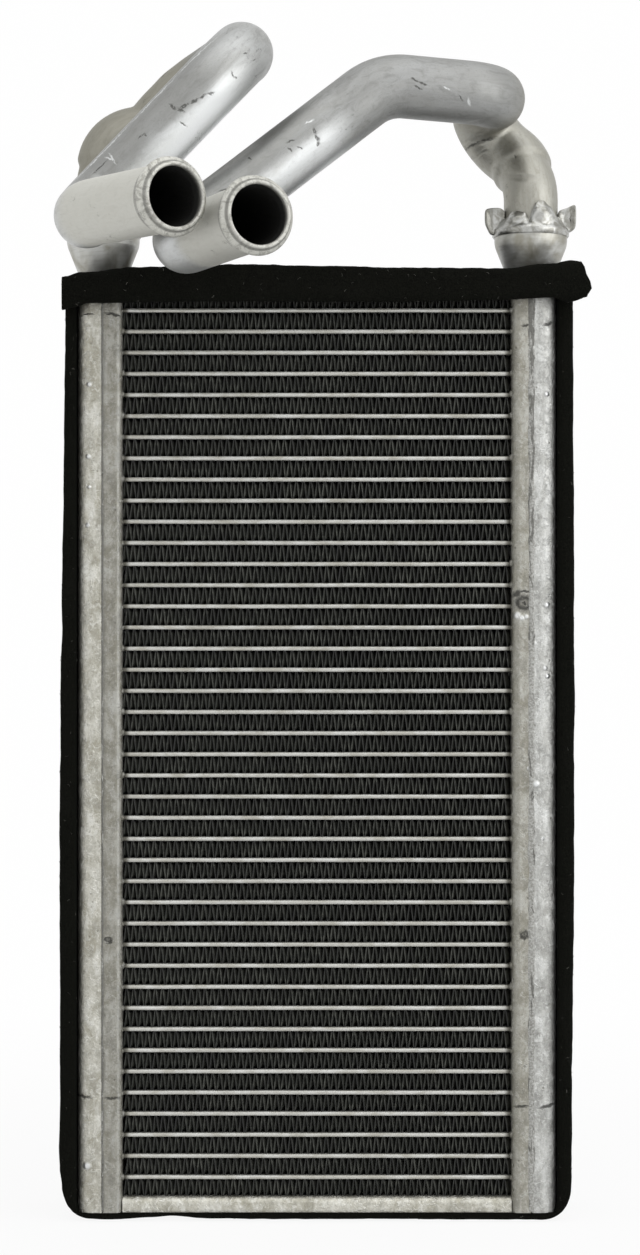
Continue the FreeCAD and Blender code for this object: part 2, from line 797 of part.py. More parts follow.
def main():
    nodes = [flat_tube(index) for index in range(int(size("tube_count")))]
    nodes.append(fin_rows())
    nodes.append(side_plate("bottom_side_plate", "stack_base", -1))
    nodes.append(side_plate("top_side_plate", "metal_top - plate_height", 1))
    nodes.append(bottom_caps())
    for word, side, pipe, route in (
        ("left", -1, "inlet", INLET_ROUTE),
        ("right", 1, "outlet", OUTLET_ROUTE),
    ):
        nodes.append(header_plate(f"{word}_header_plate", side))
        nodes.append(end_tank(f"{word}_end_tank", side))
        nodes.append(neck_cup(f"{word}_neck_cup", side))
        nodes.append(seal_ring(f"{word}_seal_ring", side))
        nodes.append(retaining_collar(f"{word}_retaining_collar", side))
        nodes.append(bent_pipe(f"{pipe}_pipe", pipe, route, side))
    nodes.append(side_foam())
    nodes.append(top_foam())
    doc.recompute()
    check(nodes)
    os.makedirs("parts", exist_ok=True)
    for node in nodes:
        node.Shape.exportStep(f"parts/{node.Label}.step")
        print(node.Label, len(node.Shape.Solids), round(node.Shape.Volume, 1))


main()
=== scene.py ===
import math

import bmesh
import bpy
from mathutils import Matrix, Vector, noise


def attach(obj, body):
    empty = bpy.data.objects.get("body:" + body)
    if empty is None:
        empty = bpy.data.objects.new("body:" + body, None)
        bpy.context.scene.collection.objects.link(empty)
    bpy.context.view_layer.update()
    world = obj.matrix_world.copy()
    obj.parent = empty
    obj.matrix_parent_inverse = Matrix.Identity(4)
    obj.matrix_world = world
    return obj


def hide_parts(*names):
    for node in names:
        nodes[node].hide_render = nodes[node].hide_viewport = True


# The looks of a brazed aluminium heater core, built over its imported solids.
# Sizes are written in millimetres and turned into metres with MM where meshes are made.

MM = 0.001

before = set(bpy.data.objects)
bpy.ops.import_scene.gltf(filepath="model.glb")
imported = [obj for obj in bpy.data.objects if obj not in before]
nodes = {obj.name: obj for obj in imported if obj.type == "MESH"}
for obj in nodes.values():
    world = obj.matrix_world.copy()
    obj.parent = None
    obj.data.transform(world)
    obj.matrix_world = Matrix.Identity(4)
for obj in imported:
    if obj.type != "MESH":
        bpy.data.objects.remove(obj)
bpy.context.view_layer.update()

# Driving sizes of the core, its foam and its necks, the same as in the part's source.
CORE_HALF = 50.0
HALF_DEPTH = 13.5
END_WIDTH = 11.8
TUBE_COUNT = 42
TUBE_THICKNESS = 1.2
FIN_HEIGHT = 4.24
PLATE_HEIGHT = 3.86
SEAT_FOAM = 2.0
SIDE_FOAM = 3.6
FOAM_CORNER = 7.7
FLAP_FOAM = 3.2
FOAM_HOLE = 6.7
NECK_STOP = 7.0

# Sizes that follow from them.
TANK_FACE = CORE_HALF + END_WIDTH
NECK_PLACE = CORE_HALF + END_WIDTH / 2
ROW_PITCH = TUBE_THICKNESS + FIN_HEIGHT
STACK_BASE = SEAT_FOAM + PLATE_HEIGHT
FIRST_TUBE = STACK_BASE + FIN_HEIGHT + TUBE_THICKNESS / 2
METAL_TOP = STACK_BASE + TUBE_COUNT * ROW_PITCH + FIN_HEIGHT + PLATE_HEIGHT
NECK_END = METAL_TOP + NECK_STOP

# Sizes of the finer meshes alone.
FIN_OVERLAP = 0.05
SEAM_PLACE = 54.98
COLLAR_BASE = 254.8
STRIP_TOP = 240.6
TOP_FOAM_ENDS = (-65.2, 69.4)

# Radii of a pipe's wall: outside, inside, the same at its narrow lower end, and its two beads.
PIPE_RADIUS = 7.95
PIPE_BORE = 6.95
NECK_RADIUS = 7.05
NECK_BORE = 6.05
NECK_BEAD = 8.3
MOUTH_BEAD = 9.25

# Corners of the pipes' centre lines, and the bend radius at each, as in the part's source.
INLET_ROUTE = [
    (-NECK_PLACE, 0.0, NECK_END, 0.0),
    (-NECK_PLACE, 0.0, 268.04, 12.0),
    (-53.7, 2.0, 279.44, 9.0),
    (-44.1, 4.0, 281.74, 10.0),
    (-35.6, 5.0, 292.04, 8.0),
    (-19.8, 5.0, 302.54, 15.5),
    (-18.6, -38.0, 294.04, 15.5),
    (-58.8, -37.0, 252.44, 10.0),
    (-54.8, -52.0, 252.24, 14.0),
    (-32.0, -86.0, 250.64, 0.0),
]
OUTLET_ROUTE = [
    (NECK_PLACE, 0.0, NECK_END, 0.0),
    (NECK_PLACE, 0.0, 267.24, 9.0),
    (53.1, 7.5, 275.64, 10.0),
    (35.7, 17.0, 291.04, 9.4),
    (50.0, -14.5, 288.04, 10.0),
    (16.5, -22.0, 289.54, 16.0),
    (-37.0, -34.0, 246.44, 12.0),
    (-12.9, -86.0, 246.54, 0.0),
]


# Node trees

class Field:
    """One output of a node. Python's arithmetic on it adds Math nodes."""

    def __init__(self, tree, socket):
        self.tree = tree
        self.socket = socket

    def math(self, operation, *others):
        return self.tree.node("ShaderNodeMath", {"operation": operation}, [self, *others])

    def __add__(self, other):
        return self.math("ADD", other)

    def __sub__(self, other):
        return self.math("SUBTRACT", other)

    def __mul__(self, other):
        return self.math("MULTIPLY", other)

    def __truediv__(self, other):
        return self.math("DIVIDE", other)

    def __mod__(self, other):
        return self.math("MODULO", other)

    def __gt__(self, other):
        return self.math("GREATER_THAN", other)

    def __lt__(self, other):
        return self.math("LESS_THAN", other)

    def __rsub__(self, other):
        return self.tree.node("ShaderNodeMath", {"operation": "SUBTRACT"}, [other, self])

    def __neg__(self):
        return self * -1.0

    __radd__ = __add__
    __rmul__ = __mul__

    def ease(self, start, end, low=0.0, high=1.0):
        """Goes smoothly from low at start to high at end, and stays there outside."""
        settings = {"interpolation_type": "SMOOTHSTEP"}
        return self.tree.node("ShaderNodeMapRange", settings, [self, start, end, low, high])

    def vector(self, operation, *others):
        """A Vector Math node, or its plain number where the operation gives one."""
        plain = operation in ("LENGTH", "DOT_PRODUCT")
        return self.tree.node("ShaderNodeVectorMath", {"operation": operation}, [self, *others],
                              "Value" if plain else "Vector")

    def scaled(self, amount):
        values = {"Vector": self, "Scale": amount}
        return self.tree.node("ShaderNodeVectorMath", {"operation": "SCALE"}, values)

    def times(self, x, y, z):
        """The vector with each axis times its own number."""
        return self.vector("MULTIPLY", (x, y, z))

    def part(self, axis):
        return self.tree.node("ShaderNodeSeparateXYZ", {}, [self], axis)

    def other(self, name):
        """Another output of the same node."""
        return Field(self.tree, self.socket.node.outputs[name])


class Tree:
    """Adds nodes to a material or to a Geometry Nodes group."""

    def __init__(self, group):
        self.group = group

    def node(self, kind, settings=None, values=None, out=None):
        """One node: its type, its settings, then a value or link for each input, by name or in order."""
        made = self.group.nodes.new(kind)
        for name, value in (settings or {}).items():
            setattr(made, name, value)
        live = [socket for socket in made.inputs if socket.enabled]
        pairs = values.items() if isinstance(values, dict) else enumerate(values or [])
        for key, value in pairs:
            socket = live[key] if isinstance(key, int) else next(s for s in live if s.name == key)
            self.feed(socket, value)
        shown = [socket for socket in made.outputs if socket.enabled and out in (None, socket.name)]
        return Field(self, shown[0])

    def feed(self, socket, value):
        if isinstance(value, Field):
            self.group.links.new(value.socket, socket)
        else:
            socket.default_value = value

    def combine(self, x, y, z):
        return self.node("ShaderNodeCombineXYZ", {}, [x, y, z])

    def noise(self, place, scale, detail=3.0, rough=0.55, warp=0.0):
        """Soft random patches from 0 to 1."""
        values = {"Vector": place, "Scale": scale, "Detail": detail, "Roughness": rough, "Distortion": warp}
        return self.node("ShaderNodeTexNoise", {}, values)

    def cells(self, place, scale):
        """The distance to the nearest of many scattered points."""
        values = {"Vector": place, "Scale": scale}
        return self.node("ShaderNodeTexVoronoi", {"feature": "F1"}, values, "Distance")

    def read(self, name, out="Fac"):
        """A value that a piece's mesh keeps on its points, for its material."""
        return self.node("ShaderNodeAttribute", {"attribute_name": name}, None, out)

    def blend(self, share, first, second):
        """A colour between two colours."""
        values = {"Factor": share, "A": first, "B": second}
        return self.node("ShaderNodeMix", {"data_type": "RGBA"}, values)

    def layered(self, tone, *layers):
        """The tone with more colours laid over it in turn, each the share that it covers and a colour."""
        for share, colour in layers:
            tone = self.blend(share, tone, colour)
        return tone

    def jittered(self, place, scale, detail, amount):
        """The place pushed about by noise, so that what is drawn there gets uneven edges."""
        push = self.noise(place, scale, detail).other("Color").vector("SUBTRACT", (0.5, 0.5, 0.5))
        return place.vector("ADD", push.scaled(amount))

    def background_seen(self):
        """1 where the background is seen, mirrored or seen through clear matter, 0 where it only lights."""
        ray = self.node("ShaderNodeLightPath", {}, None, "Is Camera Ray")
        mirrored, clear = ray.other("Is Glossy Ray"), ray.other("Is Transmission Ray")
        return ray.math("MAXIMUM", mirrored).math("MAXIMUM", clear)


class Shaper(Tree):
    """A Geometry Nodes group with named sizes, which turns a mesh into one finished piece."""

    KINDS = {float: "Float", int: "Int", bpy.types.Object: "Object", bpy.types.Material: "Material"}

    def __init__(self, name, finish, sizes):
        super().__init__(bpy.data.node_groups.new(name, "GeometryNodeTree"))
        face = self.group.interface
        face.new_socket("Geometry", in_out="INPUT", socket_type="NodeSocketGeometry")
        face.new_socket("Geometry", in_out="OUTPUT", socket_type="NodeSocketGeometry")
        self.sizes = {**sizes, "Finish": finish}
        self.keys = {}
        for label, value in self.sizes.items():
            kind = next(word for form, word in self.KINDS.items() if isinstance(value, form))
            socket = face.new_socket(label, in_out="INPUT", socket_type=f"NodeSocket{kind}")
            self.keys[label] = socket.identifier
        self.entry = self.group.nodes.new("NodeGroupInput")

    def given(self, label):
        return Field(self, self.entry.outputs[label])

    def store(self, geometry, name, value, kind="FLOAT"):
        """Keeps a value on each point, for a later step or for the material."""
        settings = {"data_type": kind, "domain": "POINT"}
        return self.node("GeometryNodeStoreNamedAttribute", settings,
                         {"Geometry": geometry, "Name": name, "Value": value})

    def kept(self, name):
        settings = {"data_type": "FLOAT"}
        return self.node("GeometryNodeInputNamedAttribute", settings, {"Name": name}, "Attribute")

    def moved(self, geometry, offset):
        return self.node("GeometryNodeSetPosition", {}, {"Geometry": geometry, "Offset": offset})

    def put(self, geometry, position):
        return self.node("GeometryNodeSetPosition", {}, {"Geometry": geometry, "Position": position})

    def chance(self, low, high, seed, **more):
        """A random number for each point."""
        values = {"Min": low, "Max": high, "Seed": seed, **more}
        return self.node("FunctionNodeRandomValue", {"data_type": "FLOAT"}, values)

    def copies(self, points, instance, **more):
        """The instance on every point, as plain mesh."""
        values = {"Points": points, "Instance": instance, **more}
        made = self.node("GeometryNodeInstanceOnPoints", {}, values)
        return self.node("GeometryNodeRealizeInstances", {}, {"Geometry": made})

    def build(self, name, geometry, base=None):
        """Ends the tree, runs it once on a mesh and gives the result as a plain object."""
        real = self.node("GeometryNodeRealizeInstances", {}, {"Geometry": geometry})
        done = self.node("GeometryNodeSetMaterial", {}, {"Geometry": real, "Material": self.given("Finish")})
        leave = self.group.nodes.new("NodeGroupOutput")
        self.group.links.new(done.socket, leave.inputs[0])
        carrier = placed("carrier", base or bpy.data.meshes.new("empty"))
        modifier = carrier.modifiers.new("Shaper", "NODES")
        modifier.node_group = self.group
        for label, value in self.sizes.items():
            modifier[self.keys[label]] = value
        depsgraph = bpy.context.evaluated_depsgraph_get()
        mesh = bpy.data.meshes.new_from_object(carrier.evaluated_get(depsgraph))
        carrier.modifiers.remove(modifier)
        bpy.data.objects.remove(carrier)
        mesh.name = name
        return placed(name, mesh)


def placed(name, data):
    """A new object in the scene, at the origin."""
    thing = bpy.data.objects.new(name, data)
    bpy.context.scene.collection.objects.link(thing)
    return thing


def surface(name):
    """A new material, its tree and its main shader."""
    material = bpy.data.materials.new(name)
    material.use_nodes = True
    return material, Tree(material.node_tree), material.node_tree.nodes["Principled BSDF"]


def dress(tree, shader, **values):
    """Feeds the main shader's inputs, with spaces in their names written as underscores."""
    for name, value in values.items():
        tree.feed(shader.inputs[name.replace("_", " ")], value)


def bumped(tree, height, strength, distance):
    """A surface direction from a height in millimetres."""
    values = {"Strength": strength, "Distance": distance * MM, "Height": height}
    return tree.node("ShaderNodeBump", {}, values)


def in_mm(tree):
    """The place on the object, in millimetres."""
    return tree.node("ShaderNodeTexCoord", {}, None, "Object").scaled(1 / MM)


def grey(level, warmth=0.0):
    """A grey, faintly green at warmth 0 and yellower above it."""
    return (level * (0.98 + 0.3 * warmth), level, level * (1.0 - 0.85 * warmth), 1.0)


# Marks drawn on the finishes

def blot(place, x, z, wide, high, edge=0.4, tilt=0.0):
    """1 inside an ellipse seen from the front, 0 outside it; the tilt lifts its right end, in degrees."""
    turn = math.radians(tilt)
    apart = place.vector("SUBTRACT", (x, 0, z))
    along = apart.vector("DOT_PRODUCT", (math.cos(turn) / wide, 0, math.sin(turn) / wide))
    over = apart.vector("DOT_PRODUCT", (-math.sin(turn) / high, 0, math.cos(turn) / high))
    return (along * along + over * over).math("SQRT").ease(1 + edge, 1 - edge)


def stroke(place, start, end, high, edge=0.6):
    """1 along a thin line between two places seen from the front."""
    (x0, z0), (x1, z1) = start, end
    tilt = math.degrees(math.atan2(z1 - z0, x1 - x0))
    return blot(place, (x0 + x1) / 2, (z0 + z1) / 2, math.hypot(x1 - x0, z1 - z0) / 2, high, edge, tilt)


def most(fields):
    """The greatest of several masks."""
    top = fields[0]
    for field in fields[1:]:
        top = top.math("MAXIMUM", field)
    return top


def spot_rings(place, spots):
    """1 on round stains, each a dark rim round a paler ring and a dark middle."""
    rings = []
    for x, z, wide, high in spots:
        rim = blot(place, x, z, wide, high, 0.4)
        paler = blot(place, x, z, wide * 0.50, high * 0.50, 0.5)
        middle = blot(place, x, z, wide * 0.28, high * 0.28, 0.7)
        rings.append((rim - paler * 0.55).math("MAXIMUM", middle))
    return most(rings)


def scratched(place, paths):
    """1 along uneven scratches seen from the front, each a half width and the places that it passes."""
    lines = [stroke(place, start, end, high, 0.5)
             for high, path in paths for start, end in zip(path, path[1:])]
    return most(lines).math("POWER", 1.5)


# Finishes

def brazed_sheet(name, level, stain, rough, marks=(), dark_spots=(), bright_spots=(), seam=0.3, warm=1.0):
    """Aluminium sheet after brazing: satin, mottled with flux, drawn out along Z, with marks, painted shade
    at its outer edges, bend and seam, and a painted highlight along one lip.

    Level is its grey, stain says how far pale flux covers it, seam how dark the painted shade is in the
    valley where tank and header plate meet, and warm how yellow its stains are."""
    material, tree, shader = surface(name)
    place = in_mm(tree)
    on_left, on_right = place.part("X") < 0.0, place.part("X") > 0.0
    side = place.part("X").math("ABSOLUTE")
    front = place.part("Y") < -HALF_DEPTH + 4.5
    patches = tree.noise(place, 0.16, 4.0, 0.6, 0.6)
    streaks = tree.noise(place.times(1.0, 1.0, 0.16), 0.75, 3.0, 0.55, 0.3)
    grain = tree.noise(place, 2.6, 3.0, 0.6)
    crust = tree.noise(place, 0.55, 5.0, 0.68, 1.1).ease(0.50, 0.66)
    speckle = tree.noise(place, 1.5, 4.0, 0.75, 0.8)
    clots = tree.noise(place.times(1.0, 1.0, 0.5), 0.34, 4.0, 0.66, 0.3)
    pits = tree.cells(place, 0.42).ease(0.16, 0.09) * tree.noise(place, 0.09).ease(0.48, 0.60)
    # Painted shade on the tanks' rounded outer edges, stronger on the left tank.
    edge_shade_left = side.ease(TANK_FACE - 2.6, TANK_FACE + 0.1) * 0.5 * on_left
    edge_shade_right = side.ease(TANK_FACE - 4.4, TANK_FACE - 0.6) * 0.22 * on_right
    # Painted highlight: a bright line along the left header plate's lip, broken by the speckle.
    lip = (side - (CORE_HALF + 1.0)).math("ABSOLUTE").ease(0.45, 0.1) * on_left * speckle.ease(0.40, 0.60)
    # Painted shade: a darker band over the header plate's bend, used on the right side only.
    fold = side.ease(CORE_HALF + 2.3, CORE_HALF + 1.8) * side.ease(CORE_HALF + 0.2, CORE_HALF + 0.6)
    # Painted shade in the valley along the seam between tank and header plate.
    joint = (side - (CORE_HALF + 4.97)).math("ABSOLUTE").ease(1.1, 0.2) * streaks.ease(0.3, 0.6)

    def tint(share, warmth):
        """A grey that is a share of the sheet's own level."""
        return grey(min(1.0, level * share), warmth)

    tone = tree.layered(
        tree.blend(patches.ease(0.36, 0.64), tint(0.72, 0.20 * warm), tint(1.14, 0.12 * warm)),
        (streaks.ease(0.35, 0.75) * 0.45, tint(0.66, 0.18 * warm)),
        (clots.ease(0.48, 0.68) * 0.55, tint(0.52, 0.16 * warm)),
        (clots.ease(0.50, 0.32) * 0.5, tint(1.4, 0.06 * warm)),
        (crust * stain, tint(1.45, 0.08 * warm)),
        (speckle.ease(0.52, 0.66) * 0.5, tint(0.45, 0.20 * warm)),
        (speckle.ease(0.45, 0.30) * 0.5, tint(1.6, 0.03 * warm)),
        (edge_shade_left + edge_shade_right, tint(0.30, 0.20 * warm)),
        (lip * 0.5, tint(1.6, 0.03)),
        (fold * on_right * 0.35, tint(0.55, 0.16)),
        (joint * seam, tint(0.42, 0.12)),
        (pits * 0.55, tint(0.30, 0.20)))
    relief = grain * 0.3 + crust * 0.6 + patches * 0.9 + streaks * 0.35 + speckle * 0.9 - pits * 0.7
    if marks:
        wobble = (tree.noise(place, 0.9) - 0.5) * 1.3
        line = tree.combine(place.part("X"), 0.0, place.part("Z") + wobble)
        scribe = most([blot(line, x, z, wide, high, 0.55, tilt) for x, z, wide, high, tilt in marks]) * front
        tone = tree.blend(scribe * 0.85, tone, grey(0.035, 0.1))
        relief = relief - scribe * 1.2
    if dark_spots:
        ring = spot_rings(tree.jittered(place, 1.1, 4.0, 2.0), dark_spots) * front
        tone = tree.blend(ring * 0.92, tone, grey(0.022, 0.05))
        relief = relief - ring
    if bright_spots:
        lump = most([blot(place, x, z, size, size, 0.6) for x, z, size in bright_spots]) * front
        tone = tree.blend(lump * 0.8, tone, grey(0.76, 0.0))
        relief = relief + lump * 2.5
    shine = (streaks * 0.12 + patches * 0.14 + crust * 0.10 + grain * 0.06) + (rough - 0.20)
    dress(tree, shader, Base_Color=tone, Roughness=shine, Metallic=0.85,
          Normal=bumped(tree, relief, 0.6, 0.26))
    return material


def seam_braze():
    """Braze along the seams: mostly as pale as the sheets, broken by dark upright dashes of painted shade
    where the open gap of the seam would show.
    """
    material, tree, shader = surface("seam braze")
    place = in_mm(tree)
    dashes = tree.noise(place.times(0.9, 0.5, 0.16), 1.1, 4.0, 0.65, 0.6)
    grain = tree.noise(place, 1.7, 4.0, 0.7)
    least = place.part("Z").ease(120.0, 215.0, 0.60, 0.50) - (place.part("X") < 0.0) * 0.18
    # Painted shade: the dark dashes stand for the open gap of the seam.
    dash = (dashes - least).ease(-0.01, 0.05)
    tone = tree.layered(
        tree.blend(grain.ease(0.35, 0.65), grey(0.22, 0.10), grey(0.42, 0.05)),
        (dash * 0.75, grey(0.10, 0.12)))
    dress(tree, shader, Base_Color=tone, Roughness=grain * 0.2 + 0.36, Metallic=0.8,
          Normal=bumped(tree, grain - dash * 1.4, 0.7, 0.25))
    return material


def tube_metal():
    """Bright flat tubes, with dull flux patches and dark ends, and painted shade behind their front edges."""
    material, tree, shader = surface("bright tube metal")
    place = in_mm(tree)
    patches = tree.noise(place.times(0.35, 1.0, 1.0), 0.5, 4.0, 0.65, 0.4)
    specks = tree.noise(place, 2.2, 3.0)
    at_header = place.part("X").math("ABSOLUTE").ease(CORE_HALF - 2.1, CORE_HALF - 0.7)
    # Painted shade behind the tubes' front edges, inside the core.
    deep = place.part("Y").math("ABSOLUTE").ease(HALF_DEPTH - 2.2, HALF_DEPTH - 3.9)
    tone = tree.layered(
        tree.blend(patches.ease(0.32, 0.68), grey(0.40, 0.14), grey(0.60, 0.05)),
        (specks.ease(0.58, 0.75) * 0.5, grey(0.19, 0.16)),
        (at_header, grey(0.11, 0.2)),
        (deep, grey(0.10, 0.08)))
    dress(tree, shader, Base_Color=tone, Roughness=patches * 0.2 + 0.34, Metallic=0.55,
          Normal=bumped(tree, patches + specks * 0.4, 0.5, 0.08))
    return material


def fin_metal():
    """Thin dull fins: pale cut edges in front, with painted shade towards the tubes and deep inside the core.
    """
    material, tree, shader = surface("fin metal")
    place = in_mm(tree)
    middle = 1.0 - (tree.read("row_level") * 2.0 - 1.0).math("ABSOLUTE")
    wear = tree.noise(place.times(0.6, 0.2, 1.0), 0.35, 4.0, 0.65, 0.5)
    grime = tree.noise(place, 1.4, 3.0)
    # Painted shade: the fins darken with depth inside the core.
    inside = place.part("Y").math("ABSOLUTE").ease(HALF_DEPTH - 2.7, 2.0)
    shaded = tree.noise(place.times(0.55, 0.2, 0.30), 0.42, 3.0, 0.6, 0.3).ease(0.50, 0.64)
    web = tree.blend(grime.ease(0.35, 0.7), (0.118, 0.122, 0.105, 1.0), (0.080, 0.082, 0.071, 1.0))
    # Painted shade: the webs go nearly black next to the tubes.
    web = tree.blend(middle.ease(0.16, 0.50), grey(0.004, 0.1), web)
    web = tree.layered(web, (inside * 0.45, grey(0.030, 0.12)), (shaded * 0.6, grey(0.034, 0.10)))
    rim = tree.layered(
        tree.blend(wear.ease(0.42, 0.70), (0.007, 0.008, 0.006, 1.0), (0.064, 0.066, 0.056, 1.0)),
        (shaded * 0.8, grey(0.010, 0.08)),
        # Painted shade: the cut edges darken next to the tubes.
        (1.0 - middle.ease(0.0, 0.42), grey(0.006, 0.1)))
    tone = tree.blend(tree.read("cut_edge"), web, rim)
    dress(tree, shader, Base_Color=tone, Roughness=grime * 0.2 + 0.5, Metallic=0.25,
          Normal=bumped(tree, grime, 0.4, 0.05))
    return material


def pipe_metal(name, level, scratches, rubbed_and_highlit, creases, dull, sides, pale_from):
    """Bent aluminium pipe: fine lines along it, clouds, scratches, bright rub marks, creases, a painted
    highlight line, and painted shade in its creases, at its mouth bead and in its bore.

    Dull gives how far all of it is darker and rougher, then the same for stretches along it: first and last
    station in millimetres, how soft their ends are, and how far. Sides gives, for a straight run seen from
    the front, its ends, its first and last station, how far painted shade darkens its upper side and how
    far a painted highlight brightens its lower side. From pale_from on, the pipe is even, pale and matte."""
    material, tree, shader = surface(name)
    place = in_mm(tree)
    unbent = tree.read("unbent", "Vector")
    from_mouth = tree.read("from_mouth")
    station = unbent.part("Z")
    lines = tree.noise(unbent.times(1.0, 1.0, 0.035), 2.4, 4.0, 0.7)
    cloud = tree.noise(unbent.times(1.0, 1.0, 0.4), 0.16, 4.0, 0.6, 0.7)
    mottle = tree.noise(unbent.times(1.0, 1.0, 0.45), 0.55, 5.0, 0.7, 1.0)
    grain = tree.noise(unbent, 1.9, 3.0, 0.6)
    speckle = tree.noise(place, 1.9, 4.0, 0.75, 0.6)
    dull_stretches = sum((station.ease(at - run, at) * station.ease(end + run, end) * amount
                for at, end, run, amount in dull[1:]), dull[0])
    mouth = station.ease(pale_from - 4.0, pale_from + 3.0)
    near_mouth = from_mouth < 5.6
    tone = tree.layered(
        tree.blend(cloud.ease(0.3, 0.7), grey(level * 0.86, 0.03), grey(level * 1.04, 0.0)),
        (lines.ease(0.45, 0.75) * 0.28, grey(level * 0.66, 0.03)),
        (mottle.ease(0.46, 0.70) * 0.5, grey(level * 0.50, 0.05)),
        (speckle.ease(0.54, 0.68) * 0.4, grey(level * 0.42, 0.06)))
    # Painted shade on the upper side of each straight run and a painted highlight on its lower side.
    for (x0, z0), (x1, z1), start, stop, upper_shade, lower_highlight in sides:
        run = math.hypot(x1 - x0, z1 - z0)
        upward = ((z0 - z1) / run, 0, (x1 - x0) / run)
        over = place.vector("SUBTRACT", (x0, 0, z0)).vector("DOT_PRODUCT", upward)
        over = over + (cloud - 0.5) * 5.0 + (mottle - 0.5) * 3.0
        window = station.ease(start - 8.0, start + 4.0) * station.ease(stop + 6.0, stop - 4.0)
        tone = tree.layered(
            tone,
            (window * over.ease(4.0, -2.5) * upper_shade, grey(level * 0.36, 0.06)),
            (window * over.ease(0.0, 4.0) * lower_highlight, grey(0.80, 0.0)))
    broken = tree.noise(place, 1.3, 4.0, 0.7).ease(0.35, 0.48)
    warped = tree.jittered(place, 0.9, 3.0, 1.1)
    scratch = scratched(warped, scratches) * broken
    # Bright rub marks, and the inlet's painted highlight line.
    shiny = scratched(warped, rubbed_and_highlit) * broken
    stray = (tree.noise(unbent, 0.21, 4.0, 0.6, 1.5) - 0.5).math("ABSOLUTE").ease(0.018, 0.006)
    stray = stray * tree.noise(unbent, 0.11, 2.0).ease(0.56, 0.66) * mottle.ease(0.45, 0.6)
    dark = scratch.math("MAXIMUM", stray * 0.7)
    nearly = tree.jittered(place, 0.3, 2.0, 0.9)
    # Painted shade in the drawn folds, which the bump also presses in.
    fold = most([stroke(nearly, start, end, high) for start, end, high in creases]) * (station < 84.0)
    reach = unbent.times(1.0, 1.0, 0.0).vector("LENGTH")
    # Painted shade at the foot of the mouth bead.
    groove = (reach - 8.12).math("ABSOLUTE").ease(0.34, 0.08) * (from_mouth < 6.0)
    # Painted shade: the bore goes black just inside the mouth.
    bore = (reach < 7.4) * (station > 26.0) * from_mouth.ease(0.2, 3.0)
    tone = tree.layered(
        tone,
        (mouth * 0.8, grey(level * 1.04, 0.10)),
        (near_mouth * mottle.ease(0.46, 0.58) * 0.42, grey(level * 0.30, 0.14)),
        (near_mouth * speckle.ease(0.44, 0.36) * 0.5, grey(0.72, 0.04)),
        (dull_stretches, grey(level * 0.32, 0.06)),
        (station.ease(68.0, 54.0) * 0.42, grey(level * 0.48, 0.36)),
        (dark * 0.80, grey(0.065, 0.1)),
        (shiny * 0.7, grey(0.76, 0.0)),
        (fold * 0.14, grey(0.14, 0.15)),
        (groove * 0.6, grey(0.12, 0.10)),
        (bore * 0.96, grey(0.04, 0.05)))
    relief = lines * 0.3 + grain * 0.3 + cloud * 0.8 + mottle * 0.7 + speckle * 0.5 - dark * 1.1 - fold * 3.2
    shine = cloud * 0.12 + lines * 0.10 + mottle * 0.22 + dull_stretches * 0.22 + mouth * 0.22 + 0.20
    dress(tree, shader, Base_Color=tone, Roughness=shine, Metallic=0.9,
          Normal=bumped(tree, relief, 0.5, 0.14))
    return material


def cup_sheet():
    """Drawn aluminium of the cups: smooth, with soft rings of drawing and dull patches."""
    level, rough = 0.52, 0.40
    material, tree, shader = surface("drawn cup metal")
    place = in_mm(tree)
    patches = tree.noise(place, 0.17, 3.0, 0.55, 0.4)
    rings = tree.noise(place.times(0.25, 0.25, 2.2), 0.9, 3.0)
    grain = tree.noise(place, 3.0, 3.0)
    tone = tree.layered(
        tree.blend(patches.ease(0.25, 0.70), grey(level * 0.50, 0.22), grey(level * 1.10, 0.04)),
        (rings.ease(0.45, 0.75) * 0.3, grey(level * 0.5, 0.12)))
    shine = patches * 0.16 + grain * 0.08 + rough - 0.1
    dress(tree, shader, Base_Color=tone, Roughness=shine, Metallic=0.92,
          Normal=bumped(tree, patches + rings * 0.4 + grain * 0.2, 0.4, 0.15))
    return material


def collar_sheet():
    """Stamped collar metal: bright on the folds, with painted shade inside the crown where it meets the pipe,
    and darker on the ears.
    """
    material, tree, shader = surface("stamped collar metal")
    place = in_mm(tree)
    off_right, off_left = (place.vector("SUBTRACT", (x, 0, 0)).times(1.0, 1.0, 0.0).vector("LENGTH")
                           for x in (NECK_PLACE, -NECK_PLACE))
    off_neck = off_right.math("MINIMUM", off_left)
    patches = tree.noise(place, 0.45, 4.0, 0.65, 0.8)
    grain = tree.noise(place, 2.2, 4.0, 0.7)
    tone = tree.layered(
        tree.blend(patches.ease(0.35, 0.65), grey(0.27, 0.12), grey(0.52, 0.04)),
        (grain.ease(0.55, 0.72) * 0.45, grey(0.22, 0.16)),
        # Painted shade inside the crown, next to the pipe.
        (off_neck.ease(8.5, 7.9) * 0.5, grey(0.16, 0.18)),
        (off_neck.ease(10.0, 10.5) * 0.72, grey(0.20, 0.14)))
    dress(tree, shader, Base_Color=tone, Roughness=patches * 0.2 + 0.22, Metallic=0.88,
          Normal=bumped(tree, patches + grain * 0.3, 0.5, 0.2))
    return material


